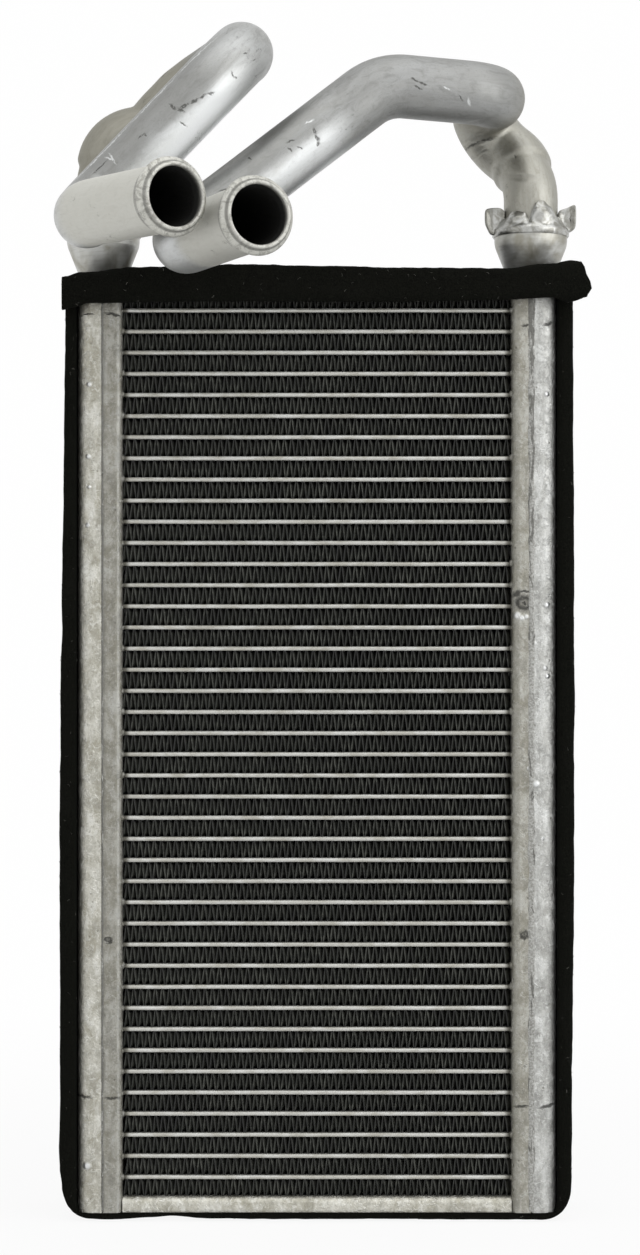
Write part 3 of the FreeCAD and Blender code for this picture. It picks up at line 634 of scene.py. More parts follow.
def felt(name):
    """Dense black foam with a felted face: matte, hazy with dust, rough to the touch."""
    material, tree, shader = surface(name)
    place = in_mm(tree)
    nap = tree.noise(place, 3.2, 5.0, 0.75)
    haze = tree.noise(place, 0.12, 4.0, 0.6, 0.5)
    dust = tree.noise(place, 5.5, 2.0).ease(0.66, 0.78)
    tone = tree.layered(
        tree.blend(nap.ease(0.3, 0.7), (0.0006, 0.0007, 0.0004, 1.0), (0.0090, 0.0094, 0.0070, 1.0)),
        (haze.ease(0.5, 0.8) * 0.5, (0.009, 0.009, 0.0075, 1.0)),
        (dust * 0.35, (0.050, 0.050, 0.042, 1.0)))
    dress(tree, shader, Base_Color=tone, Roughness=nap * 0.1 + 0.88, Specular_IOR_Level=0.06,
          Normal=bumped(tree, nap + haze, 0.8, 0.35))
    return material


def lint_fibre():
    """Pale fibres caught on the foam."""
    material, tree, shader = surface("lint fibre")
    shade = tree.noise(in_mm(tree), 0.8, 3.0)
    tone = tree.blend(shade.ease(0.4, 0.65), (0.03, 0.03, 0.025, 1.0), (0.22, 0.215, 0.19, 1.0))
    dress(tree, shader, Base_Color=tone, Roughness=0.9)
    return material


def seal_rubber():
    """Black rubber of the neck seals, with a faint bloom."""
    material, tree, shader = surface("seal rubber")
    bloom = tree.noise(in_mm(tree), 0.7, 4.0, 0.6)
    tone = tree.blend(bloom.ease(0.3, 0.7), grey(0.010), grey(0.028, 0.1))
    dress(tree, shader, Base_Color=tone, Roughness=bloom * 0.25 + 0.45)
    return material


# Short dark scribe lines on the front of each tank and header plate: x, z, half length, half height, tilt.
LEFT_TANK_MARKS = [(-58.8, 232.5, 1.4, 0.18, 0.0), (-60.0, 31.8, 2.2, 0.34, -6.0)]
RIGHT_TANK_MARKS = [(59.4, 230.1, 1.4, 0.28, 18.0), (59.1, 29.3, 2.2, 0.34, 12.0)]
LEFT_HEADER_MARKS = [(-52.3, 232.5, 1.9, 0.32, -10.0), (-52.6, 31.4, 1.8, 0.34, -3.0)]
RIGHT_HEADER_MARKS = [
    (53.6, 229.7, 1.2, 0.28, 0.0), (52.4, 29.3, 1.9, 0.32, 3.0), (51.2, 160.8, 1.3, 0.7, 35.0),
    (53.2, 161.4, 1.8, 0.3, -8.0)]

# Round stains on the header plates: x, z, half width, half height.
LEFT_HEADER_STAINS = [(-53.6, 72.0, 1.1, 0.8)]
RIGHT_HEADER_STAINS = [(53.1, 158.4, 2.3, 2.1), (53.2, 73.4, 1.4, 1.1)]

# Bright beads of braze on the tanks and the right header plate: x, z, radius.
LEFT_TANK_BEADS = [
    (-58.4, 214.5, 0.55), (-58.6, 196.0, 0.55), (-58.4, 188.2, 0.4), (-58.8, 178.4, 0.5), (-59.0, 14.0, 0.8)]
RIGHT_TANK_BEADS = [
    (58.9, 212.0, 0.5), (56.2, 112.0, 0.7), (55.5, 148.2, 0.6), (57.8, 98.0, 0.4), (59.0, 157.9, 0.6),
    (58.5, 141.7, 0.5), (59.1, 139.7, 0.5)]
RIGHT_HEADER_BEADS = [(54.4, 116.0, 0.5), (51.3, 155.2, 0.8), (52.5, 154.6, 0.6), (53.7, 154.9, 0.5)]

left_tank_metal = brazed_sheet(
    "left tank metal", level=0.48, stain=0.55, rough=0.40, marks=LEFT_TANK_MARKS,
    bright_spots=LEFT_TANK_BEADS)
right_tank_metal = brazed_sheet(
    "right tank metal", level=0.475, stain=0.60, rough=0.40, marks=RIGHT_TANK_MARKS,
    bright_spots=RIGHT_TANK_BEADS, warm=0.35)
left_header_metal = brazed_sheet(
    "left header metal", level=0.305, stain=0.45, rough=0.48, marks=LEFT_HEADER_MARKS,
    dark_spots=LEFT_HEADER_STAINS, seam=0.5)
right_header_metal = brazed_sheet(
    "right header metal", level=0.365, stain=0.50, rough=0.50, marks=RIGHT_HEADER_MARKS,
    dark_spots=RIGHT_HEADER_STAINS, bright_spots=RIGHT_HEADER_BEADS, seam=0.2)
plate_metal = brazed_sheet("side plate metal", level=0.53, stain=0.60, rough=0.45)
cap_metal = brazed_sheet("closing plate metal", level=0.36, stain=0.50, rough=0.48)
cup_metal = cup_sheet()
collar_metal = collar_sheet()
braze_metal = brazed_sheet("braze fillet metal", level=0.20, stain=0.70, rough=0.50)
seam_metal = seam_braze()

# Scratches and bright rub marks on the pipes, with one painted highlight line on the inlet: the half width of
# each, and the places (x, z) that it passes.
INLET_SCRATCHES = [
    (0.42, [(-36.1, 280.0), (-34.3, 278.2), (-31.1, 280.0), (-28.9, 281.1), (-26.8, 282.3), (-25.0, 282.7)]),
    (0.40, [(-34.0, 278.9), (-32.2, 277.8)]),
    (0.22, [(-33.6, 275.6), (-31.8, 274.5)]),
    (0.24, [(-21.0, 288.2), (-20.3, 287.0), (-19.6, 286.8)]),
    (0.20, [(-18.2, 293.0), (-17.0, 293.4)]),
    (0.18, [(-55.0, 262.9), (-51.2, 266.6)]),
    (0.20, [(-43.6, 271.4), (-42.0, 272.8), (-41.6, 271.8)]),
]
INLET_RUBBED_AND_HIGHLIT = [
    (0.26, [(-51.8, 267.4), (-49.5, 266.0)]),
    (0.22, [(-50.9, 268.3), (-49.0, 265.4)]),
    # A painted highlight: the bright line along the upper-left edge of the inlet's front leg.
    (0.16, [(-60.6, 260.6), (-46.0, 275.6), (-34.0, 288.0), (-24.6, 297.6)]),
]
OUTLET_SCRATCHES = [
    (0.48, [(-0.8, 276.3), (-0.4, 274.5), (0.5, 273.0), (0.1, 271.6)]),
    (0.26, [(-7.6, 272.3), (-5.4, 273.1)]),
    (0.24, [(-7.2, 271.2), (-6.1, 270.1)]),
    (0.24, [(-5.0, 271.4), (-3.5, 270.9)]),
    (0.20, [(-17.1, 268.9), (-16.3, 267.9)]),
    (0.20, [(-24.6, 259.6), (-21.4, 260.6)]),
    (0.24, [(23.6, 290.0), (25.4, 289.0), (27.8, 288.1)]),
    (0.20, [(24.4, 288.0), (26.4, 287.0)]),
    (0.34, [(51.6, 275.6), (52.0, 274.7)]),
    (0.20, [(35.6, 286.2), (36.6, 284.9)]),
    (0.30, [(36.2, 277.0), (39.0, 278.4), (42.6, 279.7), (46.6, 280.3)]),
    (0.24, [(38.6, 275.6), (41.0, 276.6)]),
]
OUTLET_RUBBED = [
    (0.34, [(38.2, 285.6), (38.6, 283.8)]),
    (0.20, [(31.6, 288.2), (33.6, 287.0)]),
    (0.20, [(-3.0, 277.4), (-0.8, 278.4)]),
]

# Folds drawn at the pipes' first bends, pressed in and darkened with painted shade, the last outlet one a
# painted shadow band across the riser under the bend: both ends (x, z) and the half width.
INLET_FOLDS = [((-58.6, 262.4), (-50.0, 270.6), 0.35)]
OUTLET_FOLDS = [
    ((36.0, 277.6), (46.5, 280.4), 0.55), ((37.5, 274.8), (44.5, 277.4), 0.40),
    ((36.5, 279.8), (44.0, 281.4), 0.40), ((48.4, 269.9), (56.0, 268.6), 0.90)]

inlet_metal = pipe_metal(
    "inlet pipe metal", 0.56, INLET_SCRATCHES, INLET_RUBBED_AND_HIGHLIT, INLET_FOLDS,
    dull=(0.0, (0.0, 62.0, 12.0, 0.74), (84.0, 108.0, 10.0, 0.30)),
    sides=[((-18.6, 294.0), (-58.8, 252.4), 112.0, 160.0, 0.72, 1.0)], pale_from=168.0)
outlet_metal = pipe_metal(
    "outlet pipe metal", 0.56, OUTLET_SCRATCHES, OUTLET_RUBBED, OUTLET_FOLDS,
    dull=(0.05, (0.0, 56.0, 10.0, 0.22), (56.0, 106.0, 12.0, 0.54)),
    sides=[((16.5, 289.5), (-37.0, 246.4), 114.0, 180.0, 0.72, 0.46)], pale_from=182.0)
foam_felt = felt("foam felt")
top_felt = felt("top foam felt")
lint = lint_fibre()
rubber = seal_rubber()


# Meshes made of rings, tables along them and uneven surfaces

def outward(piece):
    """Turns all faces outwards and shades them smooth."""
    work = bmesh.new()
    work.from_mesh(piece.data)
    bmesh.ops.recalc_face_normals(work, faces=work.faces)
    work.to_mesh(piece.data)
    work.free()
    piece.data.shade_smooth()
    return piece


def skin(name, rings, finish, round_trip=False):
    """A closed piece through a row of rings with the same number of points.

    It is closed flat at both ends, or its last ring joins its first on a round trip."""
    sides = len(rings[0])
    points = [Vector(p) * MM for ring in rings for p in ring]
    faces = []
    for i in range(len(rings) - (0 if round_trip else 1)):
        for j in range(sides):
            a, b, ahead = i * sides + j, i * sides + (j + 1) % sides, (i + 1) % len(rings) * sides
            faces.append((a, b, ahead + (j + 1) % sides, ahead + j))
    if not round_trip:
        faces.append(tuple(reversed(range(sides))))
        faces.append(tuple(range(len(points) - sides, len(points))))
    mesh = bpy.data.meshes.new(name)
    mesh.from_pydata(points, [], faces)
    mesh.materials.append(finish)
    return outward(placed(name, mesh))


def merged(name, pieces, finish):
    """One piece out of several, with crisp edges only where faces meet steeply."""
    work = bmesh.new()
    for piece in pieces:
        work.from_mesh(piece.data)
        bpy.data.objects.remove(piece)
    mesh = bpy.data.meshes.new(name)
    work.to_mesh(mesh)
    work.free()
    mesh.materials.append(finish)
    mesh.set_sharp_from_angle(angle=math.radians(48))
    return placed(name, mesh)


def table(pairs, at):
    """The value at a place, going smoothly from pair to pair of a table."""
    if at <= pairs[0][0]:
        return pairs[0][1]
    for (x0, y0), (x1, y1) in zip(pairs, pairs[1:]):
        if at <= x1:
            share = (at - x0) / (x1 - x0)
            share = share * share * (3 - 2 * share)
            return y0 + (y1 - y0) * share
    return pairs[-1][1]


def ragged(x, y, z, grain):
    """A small push of a surface at a place, up to about 1."""
    place = Vector((x, y, z))
    return noise.noise(place / grain) + 0.5 * noise.noise(place * 2.3 / grain + Vector((7, 3, 5)))


# Core: fins, tubes and braze

def folded_fins():
    """Rows of folded fins, each of several leaning banks one behind the other, with cut edges in front."""
    shaper = Shaper("Folded fins", fin_metal(), {
        "Rows": TUBE_COUNT + 1, "Row Pitch": ROW_PITCH * MM, "Lowest Row": (STACK_BASE - FIN_OVERLAP) * MM,
        "Folds": 54, "Span": (2 * CORE_HALF - 1) * MM, "Height": (FIN_HEIGHT + 2 * FIN_OVERLAP) * MM,
        "Depth": 21.9 * MM, "Banks": 8, "Lean": 0.60 * MM, "Crest": 0.30 * MM, "Edge": 0.24 * MM,
        "Wander": 0.34 * MM, "Seed": 5})
    rows, folds, span, height = (shaper.given(n) for n in ("Rows", "Folds", "Span", "Height"))
    depth, banks, crest, edge = (shaper.given(n) for n in ("Depth", "Banks", "Crest", "Edge"))
    quarter = span / (folds * 4)
    here = shaper.node("GeometryNodeInputPosition")
    step = ((here.part("X") + span / 2) / quarter).math("ROUND")
    phase = step % 4
    raised = phase > 1.5
    side = here.part("Y").math("SIGN")
    across = here.part("X") + (phase % 2) * (crest - quarter)

    def sheet(wide):
        grid = shaper.node("GeometryNodeMeshGrid", {}, {
            "Size X": span, "Size Y": wide, "Vertices X": folds * 4 + 1, "Vertices Y": 2}, "Mesh")
        return shaper.store(shaper.store(grid, "side", side), "row_level", raised)

    bank = shaper.put(sheet(depth / banks), shaper.combine(across, here.part("Y"), raised * height))
    bank = shaper.store(bank, "cut_edge", 0.0)
    turn = 1.0 - 2.0 * (((step + 1.0) % 4) > 1.5)
    rim_place = shaper.combine(across + side * turn * edge / 2, 0.0, raised * height + side * edge / 2)
    rim = shaper.store(shaper.put(sheet(1.0), rim_place), "cut_edge", 1.0)

    def spread(geometry, count, deep):
        """Copies of a strip for each row and bank, a whole row shifted sideways by chance."""
        number = shaper.node("GeometryNodeInputIndex")
        row = (number / deep + 0.001).math("FLOOR")
        layer = number - row * deep
        shift = shaper.chance(-2.0, 2.0, shaper.given("Seed"), ID=row) * quarter * 0.5
        points = shaper.node("GeometryNodeMeshLine", {}, {"Count": count})
        points = shaper.put(points, shaper.combine(
            shift + (layer % 2) * quarter * 0.6, (layer + 0.5) * (depth / banks) - depth / 2,
            shaper.given("Lowest Row") + row * shaper.given("Row Pitch")))
        lean = (1.0 - 2.0 * ((layer + 0.5) > banks / 2)) * shaper.given("Lean")
        return shaper.copies(shaper.store(points, "lean", lean), geometry)

    blades = spread(bank, rows * banks, banks)
    blades = shaper.moved(blades, shaper.combine(shaper.kept("lean") * shaper.kept("side"), 0.0, 0.0))
    rims = spread(rim, rows, 1.0)
    ahead = -(depth / banks) / 2 - 0.02 * MM
    lead = shaper.given("Lean")
    core = shaper.node("GeometryNodeJoinGeometry")
    for part in (shaper.moved(rims, shaper.combine(-lead, ahead, 0.0)),
                 shaper.moved(rims, shaper.combine(-lead, ahead + depth + 0.04 * MM, 0.0)), blades):
        shaper.group.links.new(part.socket, core.socket.node.inputs[0])
    flat = here.times(1.0, 0.0, 1.0)
    small = shaper.noise(flat, 420.0, 2.0) - 0.5
    dented = shaper.noise(flat, 26.0, 2.0).ease(0.52, 0.66) * 3.4 + 0.5
    large = (shaper.noise(flat, 55.0, 3.0) - 0.5) * dented
    core = shaper.moved(core, shaper.combine((small * 0.9 + large * 1.6) * shaper.given("Wander"), 0.0, 0.0))
    return shaper.build("corrugated_fins_folds", core)


def tube_stack():
    """The flat tubes, with rounded noses and a faint waviness."""
    shaper = Shaper("Flat tubes", tube_metal(), {
        "Count": TUBE_COUNT, "Pitch": ROW_PITCH * MM, "Lowest": FIRST_TUBE * MM,
        "Reach": (CORE_HALF + 2.3) * MM, "Width": 23.0 * MM, "Thickness": 1.1 * MM, "Waviness": 0.16 * MM})
    reach, wave = shaper.given("Reach"), shaper.given("Waviness")
    section = shaper.node("GeometryNodeCurvePrimitiveQuadrilateral", {}, {
        "Width": shaper.given("Width"), "Height": shaper.given("Thickness")})
    section = shaper.node("GeometryNodeFilletCurve", {"mode": "POLY"}, {
        "Curve": section, "Radius": shaper.given("Thickness") * 0.49, "Count": 5})
    line = shaper.node("GeometryNodeCurvePrimitiveLine", {}, {
        "Start": shaper.combine(-reach, 0.0, 0.0), "End": shaper.combine(reach, 0.0, 0.0)})
    line = shaper.node("GeometryNodeResampleCurve", {}, {"Curve": line, "Count": 64})
    tube = shaper.node("GeometryNodeCurveToMesh", {}, {
        "Curve": line, "Profile Curve": section, "Fill Caps": True})
    points = shaper.node("GeometryNodeMeshLine", {}, {
        "Count": shaper.given("Count"), "Start Location": shaper.combine(0.0, 0.0, shaper.given("Lowest")),
        "Offset": shaper.combine(0.0, 0.0, shaper.given("Pitch"))})
    stack = shaper.copies(points, tube)
    here = shaper.node("GeometryNodeInputPosition").times(1.0, 0.3, 0.9)
    bow = shaper.noise(here, 60.0, 2.0) - 0.5
    ripple = shaper.noise(here, 140.0, 2.0) - 0.5
    stack = shaper.moved(stack, shaper.combine(0.0, ripple * wave, bow * wave))
    return shaper.build("flat_tube_stack", stack)


def braze_fillets():
    """Small uneven fillets of braze where the tubes enter the two header plates, front and back."""
    shaper = Shaper("Braze fillets", braze_metal, {
        "Count": TUBE_COUNT * 4, "Pitch": ROW_PITCH * MM, "Lowest": FIRST_TUBE * MM,
        "Place": (CORE_HALF + 0.1) * MM, "Depth": 11.6 * MM, "Size": 0.75 * MM, "Seed": 11})
    seed, size = shaper.given("Seed"), shaper.given("Size")
    number = shaper.node("GeometryNodeInputIndex")
    row = (number / 4.0 + 0.001).math("FLOOR")
    corner = number - row * 4.0
    side = 1.0 - 2.0 * (corner > 1.5)
    back = 1.0 - 2.0 * ((corner % 2) > 0.5)
    points = shaper.node("GeometryNodeMeshLine", {}, {"Count": shaper.given("Count")})
    points = shaper.put(points, shaper.combine(
        side * shaper.given("Place"), -back * shaper.given("Depth"),
        shaper.given("Lowest") + row * shaper.given("Pitch") + shaper.chance(-0.3, 0.3, seed) * size))
    drop = shaper.node("GeometryNodeMeshIcoSphere", {}, {"Radius": size, "Subdivisions": 2}, "Mesh")
    wide = shaper.chance(0.55, 1.15, seed)
    drops = shaper.copies(points, drop, Scale=shaper.combine(wide, 1.1, wide * 1.25))
    smooth = shaper.node("GeometryNodeSetShadeSmooth", {}, {"Geometry": drops})
    return shaper.build("braze_fillets", smooth)


# Pipes

# The pipe's wall in section, each point a distance and a radius: its lower end with the bead, then the
# swage from where it starts, and the mouth, whose distances count back from the open end.
LOWER_END = [
    (0.0, NECK_BORE), (0.0, 6.7), (0.15, 7.0), (1.0, NECK_RADIUS), (2.4, NECK_RADIUS), (3.7, NECK_RADIUS),
    (3.95, 7.4), (4.3, 8.05), (4.9, NECK_BEAD), (5.5, 8.05), (5.85, 7.4)]
SWAGE = [(0.5, 7.12), (0.95, 7.3), (1.4, 7.55), (1.9, 7.8), (2.4, 7.93)]
MOUTH = [
    (5.2, PIPE_RADIUS), (4.3, PIPE_RADIUS), (3.85, 8.08), (3.55, 8.42), (3.2, 8.87), (2.85, 9.13),
    (2.4, MOUTH_BEAD), (1.95, 9.13), (1.6, 8.87), (1.25, 8.42), (0.98, 8.08), (0.7, PIPE_RADIUS),
    (0.35, 7.93), (0.12, 7.8), (0.0, 7.5), (0.08, 7.2), (0.3, 7.02), (0.7, PIPE_BORE), (1.3, 7.02),
    (1.9, 7.22), (2.4, 7.3), (2.9, 7.22), (3.5, 7.02), (4.2, PIPE_BORE), (5.4, PIPE_BORE)]
NECK_START = 6.2
SWAGE_LENGTH = 2.8
PIPE_ROWS = 230
PIPE_SIDES = 56


def wall_rows(swage):
    """The pipe wall unrolled, from its lower end out to the mouth and back inside.

    The swage is where it widens. Each row is (distance, share of the length, radius): it lies at
    distance + share * length."""
    rows = [(at, 0.0, radius) for at, radius in LOWER_END]
    rows += [(NECK_START + (swage - NECK_START) * i / 12, 0.0, NECK_RADIUS) for i in range(13)]
    rows += [(swage + at, 0.0, radius) for at, radius in SWAGE]
    start = swage + SWAGE_LENGTH
    for i in range(PIPE_ROWS + 1):
        share = i / PIPE_ROWS
        rows.append((start * (1 - share) - 6.0 * share, share, PIPE_RADIUS))
    rows += [(-back, 1.0, radius) for back, radius in MOUTH]
    inner = PIPE_ROWS // 3
    for i in range(inner + 1):
        share = 1 - i / inner
        rows.append((start * (1 - share) - 7.0 * share, share, PIPE_BORE))
    rows += [(swage + 1.3, 0.0, 6.5), (swage, 0.0, NECK_BORE), (swage * 0.5, 0.0, NECK_BORE)]
    return rows


def unrolled(rows):
    """A closed sheet of wall rows by sides, with each point's row values kept on it."""
    count, sides = len(rows), PIPE_SIDES
    points = [(0.0, 0.0, 0.0)] * (count * sides)
    faces = []
    for i in range(count):
        for j in range(sides):
            a, b = i * sides + j, i * sides + (j + 1) % sides
            c, d = (i + 1) % count * sides + (j + 1) % sides, (i + 1) % count * sides + j
            faces.append((a, b, c, d))
    mesh = bpy.data.meshes.new("unrolled wall")
    mesh.from_pydata(points, [], faces)
    for name, pick, scale in (("distance", 0, MM), ("share", 1, 1.0), ("reach", 2, MM)):
        values = [row[pick] * scale for row in rows for j in range(sides)]
        mesh.attributes.new(name, "FLOAT", "POINT").data.foreach_set("value", values)
    angles = [2 * math.pi * j / sides for i in range(count) for j in range(sides)]
    mesh.attributes.new("angle", "FLOAT", "POINT").data.foreach_set("value", angles)
    return mesh


def bent_pipe(name, route, swage, finish, creases):
    """A pipe wall wrapped round its route: straight runs and arcs, with creases pressed in at some bends."""
    curve = bpy.data.curves.new(f"{name} route", "CURVE")
    curve.dimensions = "3D"
    line = curve.splines.new("POLY")
    line.points.add(len(route) - 1)
    for point, (x, y, z, bend) in zip(line.points, route):
        point.co = (x * MM, y * MM, z * MM, 1.0)
        point.radius = bend * MM
    path = placed(f"{name} route", curve)
    shaper = Shaper(f"{name} wall", finish, {"Route": path, "Unevenness": 0.22 * MM})
    corners = shaper.node("GeometryNodeObjectInfo", {}, {"Object": shaper.given("Route")}, "Geometry")
    bends = shaper.node("GeometryNodeInputRadius")
    bent = shaper.node("GeometryNodeFilletCurve", {"mode": "POLY"}, {
        "Curve": corners, "Radius": bends, "Count": 20})
    length = shaper.node("GeometryNodeCurveLength", {}, {"Curve": bent})
    station = shaper.kept("distance") + shaper.kept("share") * length
    settings = {"mode": "LENGTH", "use_all_curves": True, "data_type": "FLOAT"}
    sample = shaper.node("GeometryNodeSampleCurve", settings, {"Curves": bent, "Length": station}, "Position")
    ahead, out = sample.other("Tangent"), sample.other("Normal")
    over = ahead.vector("CROSS_PRODUCT", out)
    angle = shaper.kept("angle")
    spoke = out.scaled(angle.math("COSINE")).vector("ADD", over.scaled(angle.math("SINE")))
    reach = shaper.kept("reach")
    flat = shaper.combine(angle.math("COSINE") * reach, angle.math("SINE") * reach, station)
    uneven = shaper.noise(flat.times(1.0, 1.0, 0.5), 70.0, 2.0) - 0.5
    radius = reach + uneven * shaper.given("Unevenness")
    for (x, y, z), reach_of, direction, depth in creases:
        apart = sample.vector("SUBTRACT", (x * MM, y * MM, z * MM)).vector("LENGTH")
        facing = spoke.vector("DOT_PRODUCT", Vector(direction).normalized()).ease(0.15, 0.85)
        radius = radius + apart.ease(reach_of * MM, 0.0) * facing * (depth * MM)
    walled = shaper.put(shaper.given("Geometry"), sample.vector("ADD", spoke.scaled(radius)))
    walled = shaper.store(walled, "unbent", flat.scaled(1 / MM), "FLOAT_VECTOR")
    walled = shaper.store(walled, "from_mouth", (length - station) * (1 / MM))
    piece = shaper.build(name, walled, unrolled(wall_rows(swage)))
    bpy.data.objects.remove(path)
    return outward(piece)


# Collars and seams

# The crown's height and outward bulge by the angle round the neck in degrees, from the left ear by the
# front to the right ear. The rear half is the same, turned half round.
CROWN_RISE = [
    (-180, 3.6), (-150, 3.7), (-126, 5.3), (-106, 4.8), (-98, 2.9), (-91, 5.6), (-84, 7.3), (-72, 7.9),
    (-57, 6.5), (-38, 4.1), (0, 3.6)]
CROWN_BULGE = [
    (-180, 0.0), (-150, 0.1), (-122, 0.75), (-104, 0.2), (-98, -0.45), (-89, 0.4), (-72, 1.2), (-50, 0.6),
    (-36, 0.0), (0, 0.0)]

# The ears' outlines, as places to the right of the neck and above the collar's base, their thickness and
# the rounding of their rims.
LEFT_EAR = [
    (-7.0, -0.3), (-8.9, -0.35), (-10.5, -0.3), (-11.1, 0.5), (-11.9, 2.2), (-12.1, 3.0), (-12.15, 4.6),
    (-12.1, 5.9), (-11.8, 6.4), (-11.2, 6.65), (-9.8, 6.8), (-8.2, 6.8), (-7.2, 6.2), (-6.7, 5.2)]
RIGHT_EAR = [
    (7.0, 0.2), (9.0, 0.2), (9.9, 0.35), (11.0, 1.0), (11.5, 1.7), (11.65, 3.0), (11.7, 5.2), (11.65, 7.1),
    (11.3, 7.6), (10.6, 7.4), (9.4, 6.8), (7.8, 6.3), (6.8, 5.6)]
EAR_THICKNESS = 1.6
EAR_EDGE = 0.35

# The collar in section, as radius and height above its base: up the band, then down inside the crown. The
# crown between them starts at its foot and leans in towards its tip.
BAND_SECTION = [(8.9, -0.7), (9.75, -0.75), (10.0, -0.4), (10.05, 0.6), (9.95, 1.1), (9.5, 1.5)]
INSIDE_SECTION = [(7.5, 2.6), (7.9, 1.4), (8.6, 0.6)]
CROWN_FOOT = (9.0, 2.1)
CROWN_LEAN = 0.9
CROWN_SHARES = [0.15, 0.35, 0.55, 0.75, 0.9]
COLLAR_RINGS = 144

# A seam bead's height above the floor, its length, its rings, and its section: across and outwards, as
# shares of its half width and height.
BEAD_START = SEAT_FOAM + 0.4
BEAD_LENGTH = METAL_TOP - 3.2
BEAD_STEPS = 320
BEAD_SECTION = [(-1, -0.6), (-0.8, 0.35), (-0.4, 0.85), (0, 1), (0.4, 0.85), (0.8, 0.35), (1, -0.6), (0, -1)]


def softened(outline):
    """The outline with its corners cut off twice."""
    for _ in range(2):
        ahead = outline[1:] + outline[:1]
        outline = [(x0 + (x1 - x0) * share, z0 + (z1 - z0) * share)
                   for (x0, z0), (x1, z1) in zip(outline, ahead) for share in (0.25, 0.75)]
    return outline


def ear_rings(outline, centre):
    """An ear facing the front, its rim rounded over and a shallow dish in its face."""
    outline = softened(outline)
    middle = sum((Vector((x, 0, z)) for x, z in outline), Vector()) / len(outline)
    front, back = -EAR_THICKNESS / 2, EAR_THICKNESS / 2
    steps = [
        (2.0, front + 0.24), (1.0, front + 0.22), (0.7, front + 0.02), (EAR_EDGE * 0.9, front),
        (EAR_EDGE * 0.3, front + EAR_EDGE * 0.3), (0.0, front + EAR_EDGE), (0.0, back - EAR_EDGE),
        (EAR_EDGE, back), (2.0, back)]
    rings = []
    for inset, y in steps:
        ring = []
        for x, z in outline:
            inward = (middle - Vector((x, 0, z))).normalized()
            ring.append(centre + Vector((x, y, z)) + inward * inset)
        rings.append(ring)
    return rings


def collar(word, side, finish):
    """A stamped collar: a band and shoulder, a crown folded into claws round the pipe, and two ears."""
    centre = Vector((side * NECK_PLACE, 0, COLLAR_BASE))
    foot_radius, foot = CROWN_FOOT
    rings = []
    for i in range(COLLAR_RINGS):
        turn = 360.0 * i / COLLAR_RINGS - 180.0
        facing = turn if turn <= 0 else turn - 180.0
        rise, bulge = table(CROWN_RISE, facing), table(CROWN_BULGE, facing)
        section = BAND_SECTION + [(9.2 + bulge * 0.3, 1.9)]
        for share in CROWN_SHARES:
            swell = math.sin(math.pi * min(1.0, share * 1.15)) * bulge
            section.append((foot_radius - CROWN_LEAN * share + swell, foot + (rise - foot) * share))
        section += [(8.0, rise), (7.7, rise + 0.05), (7.45, rise - 0.25)] + INSIDE_SECTION
        angle = math.radians(turn)
        ahead, over = math.cos(angle), math.sin(angle)
        dent = 0.10 * noise.noise(Vector((ahead * 3, over * 3, side)))
        rings.append([centre + Vector(((r + dent) * ahead, (r + dent) * over, z)) for r, z in section])
    crown = skin(f"{word}_collar_crown", rings, finish, round_trip=True)
    in_front = centre + Vector((0, -EAR_THICKNESS, 0))
    ears = [skin(f"{word}_collar_ear", ear_rings(outline, in_front), finish)
            for outline in (LEFT_EAR, RIGHT_EAR)]
    return merged(f"{word}_collar_stamping", [crown, *ears], finish)


def seam_beads():
    """Uneven lines of braze along the seams between tanks and header plates, before and behind."""
    beads = []
    for side in (-1, 1):
        for face in (-1, 1):
            rings = []
            for i in range(BEAD_STEPS + 1):
                z = BEAD_START + BEAD_LENGTH * i / BEAD_STEPS
                wide = (0.24 if side < 0 else 0.85) * (1 + 0.4 * ragged(side * 50, face * 9, z, 4.0))
                lift = 0.10 + 0.05 * ragged(side * 20, face * 5, z, 2.0)
                x = side * SEAM_PLACE + 0.12 * ragged(side * 9, face, z, 6.0)
                rings.append([Vector((x + wide * across, face * (HALF_DEPTH + lift * out), z))
                              for across, out in BEAD_SECTION])
            beads.append(skin("bead", rings, seam_metal))
    return merged("seam_beads", beads, seam_metal)


# Foam

# How far the foam under the core is pressed up from below: place along x, height.
FOAM_SAG = [
    (-60, 0.25), (-53, 0.0), (-43, 0.65), (-37, 1.05), (-28, 0.35), (-10, 0.15), (15, 0.20), (38, 0.05),
    (58, 0.0)]

# How far the strip's outer edge stands off its plain line on each side: height, distance.
LEFT_BULGE = [
    (0, 0.0), (5, -0.15), (8, 0.15), (13, 0.75), (18, 0.95), (31, 0.75), (57, 0.70), (95, 0.85), (133, 0.60),
    (159, 0.25), (185, -0.10), (203, -0.35), (231, -0.65)]
RIGHT_BULGE = [(0, 0.0), (20, 0.15), (57, 0.40), (82, 0.70), (133, 0.85), (185, 0.70), (231, 0.45)]

# The front flap of the top foam: its upper and lower edge along x.
FLAP_TOP = [
    (-65, 241.9), (-60, 243.1), (-46, 244.4), (-21, 245.1), (3, 244.7), (21, 244.3), (47, 244.1), (60, 245.3),
    (66, 246.1), (70, 245.8)]
FLAP_LOW = [
    (-65, 233.4), (-63, 234.0), (-58, 235.2), (-30, 235.6), (20, 235.5), (45, 235.9), (60, 236.6),
    (65, 235.4), (70, 236.8)]

# The ragged cut at the right end of the top foam: where it starts to stretch, its reach by height in
# front, and its reach behind.
CUT_START = 60.0
CUT_SLANT = [(233.0, 66.0), (236.0, 68.9), (239.0, 69.9), (242.0, 69.0), (246.0, 67.6)]
CUT_BEHIND = 65.6

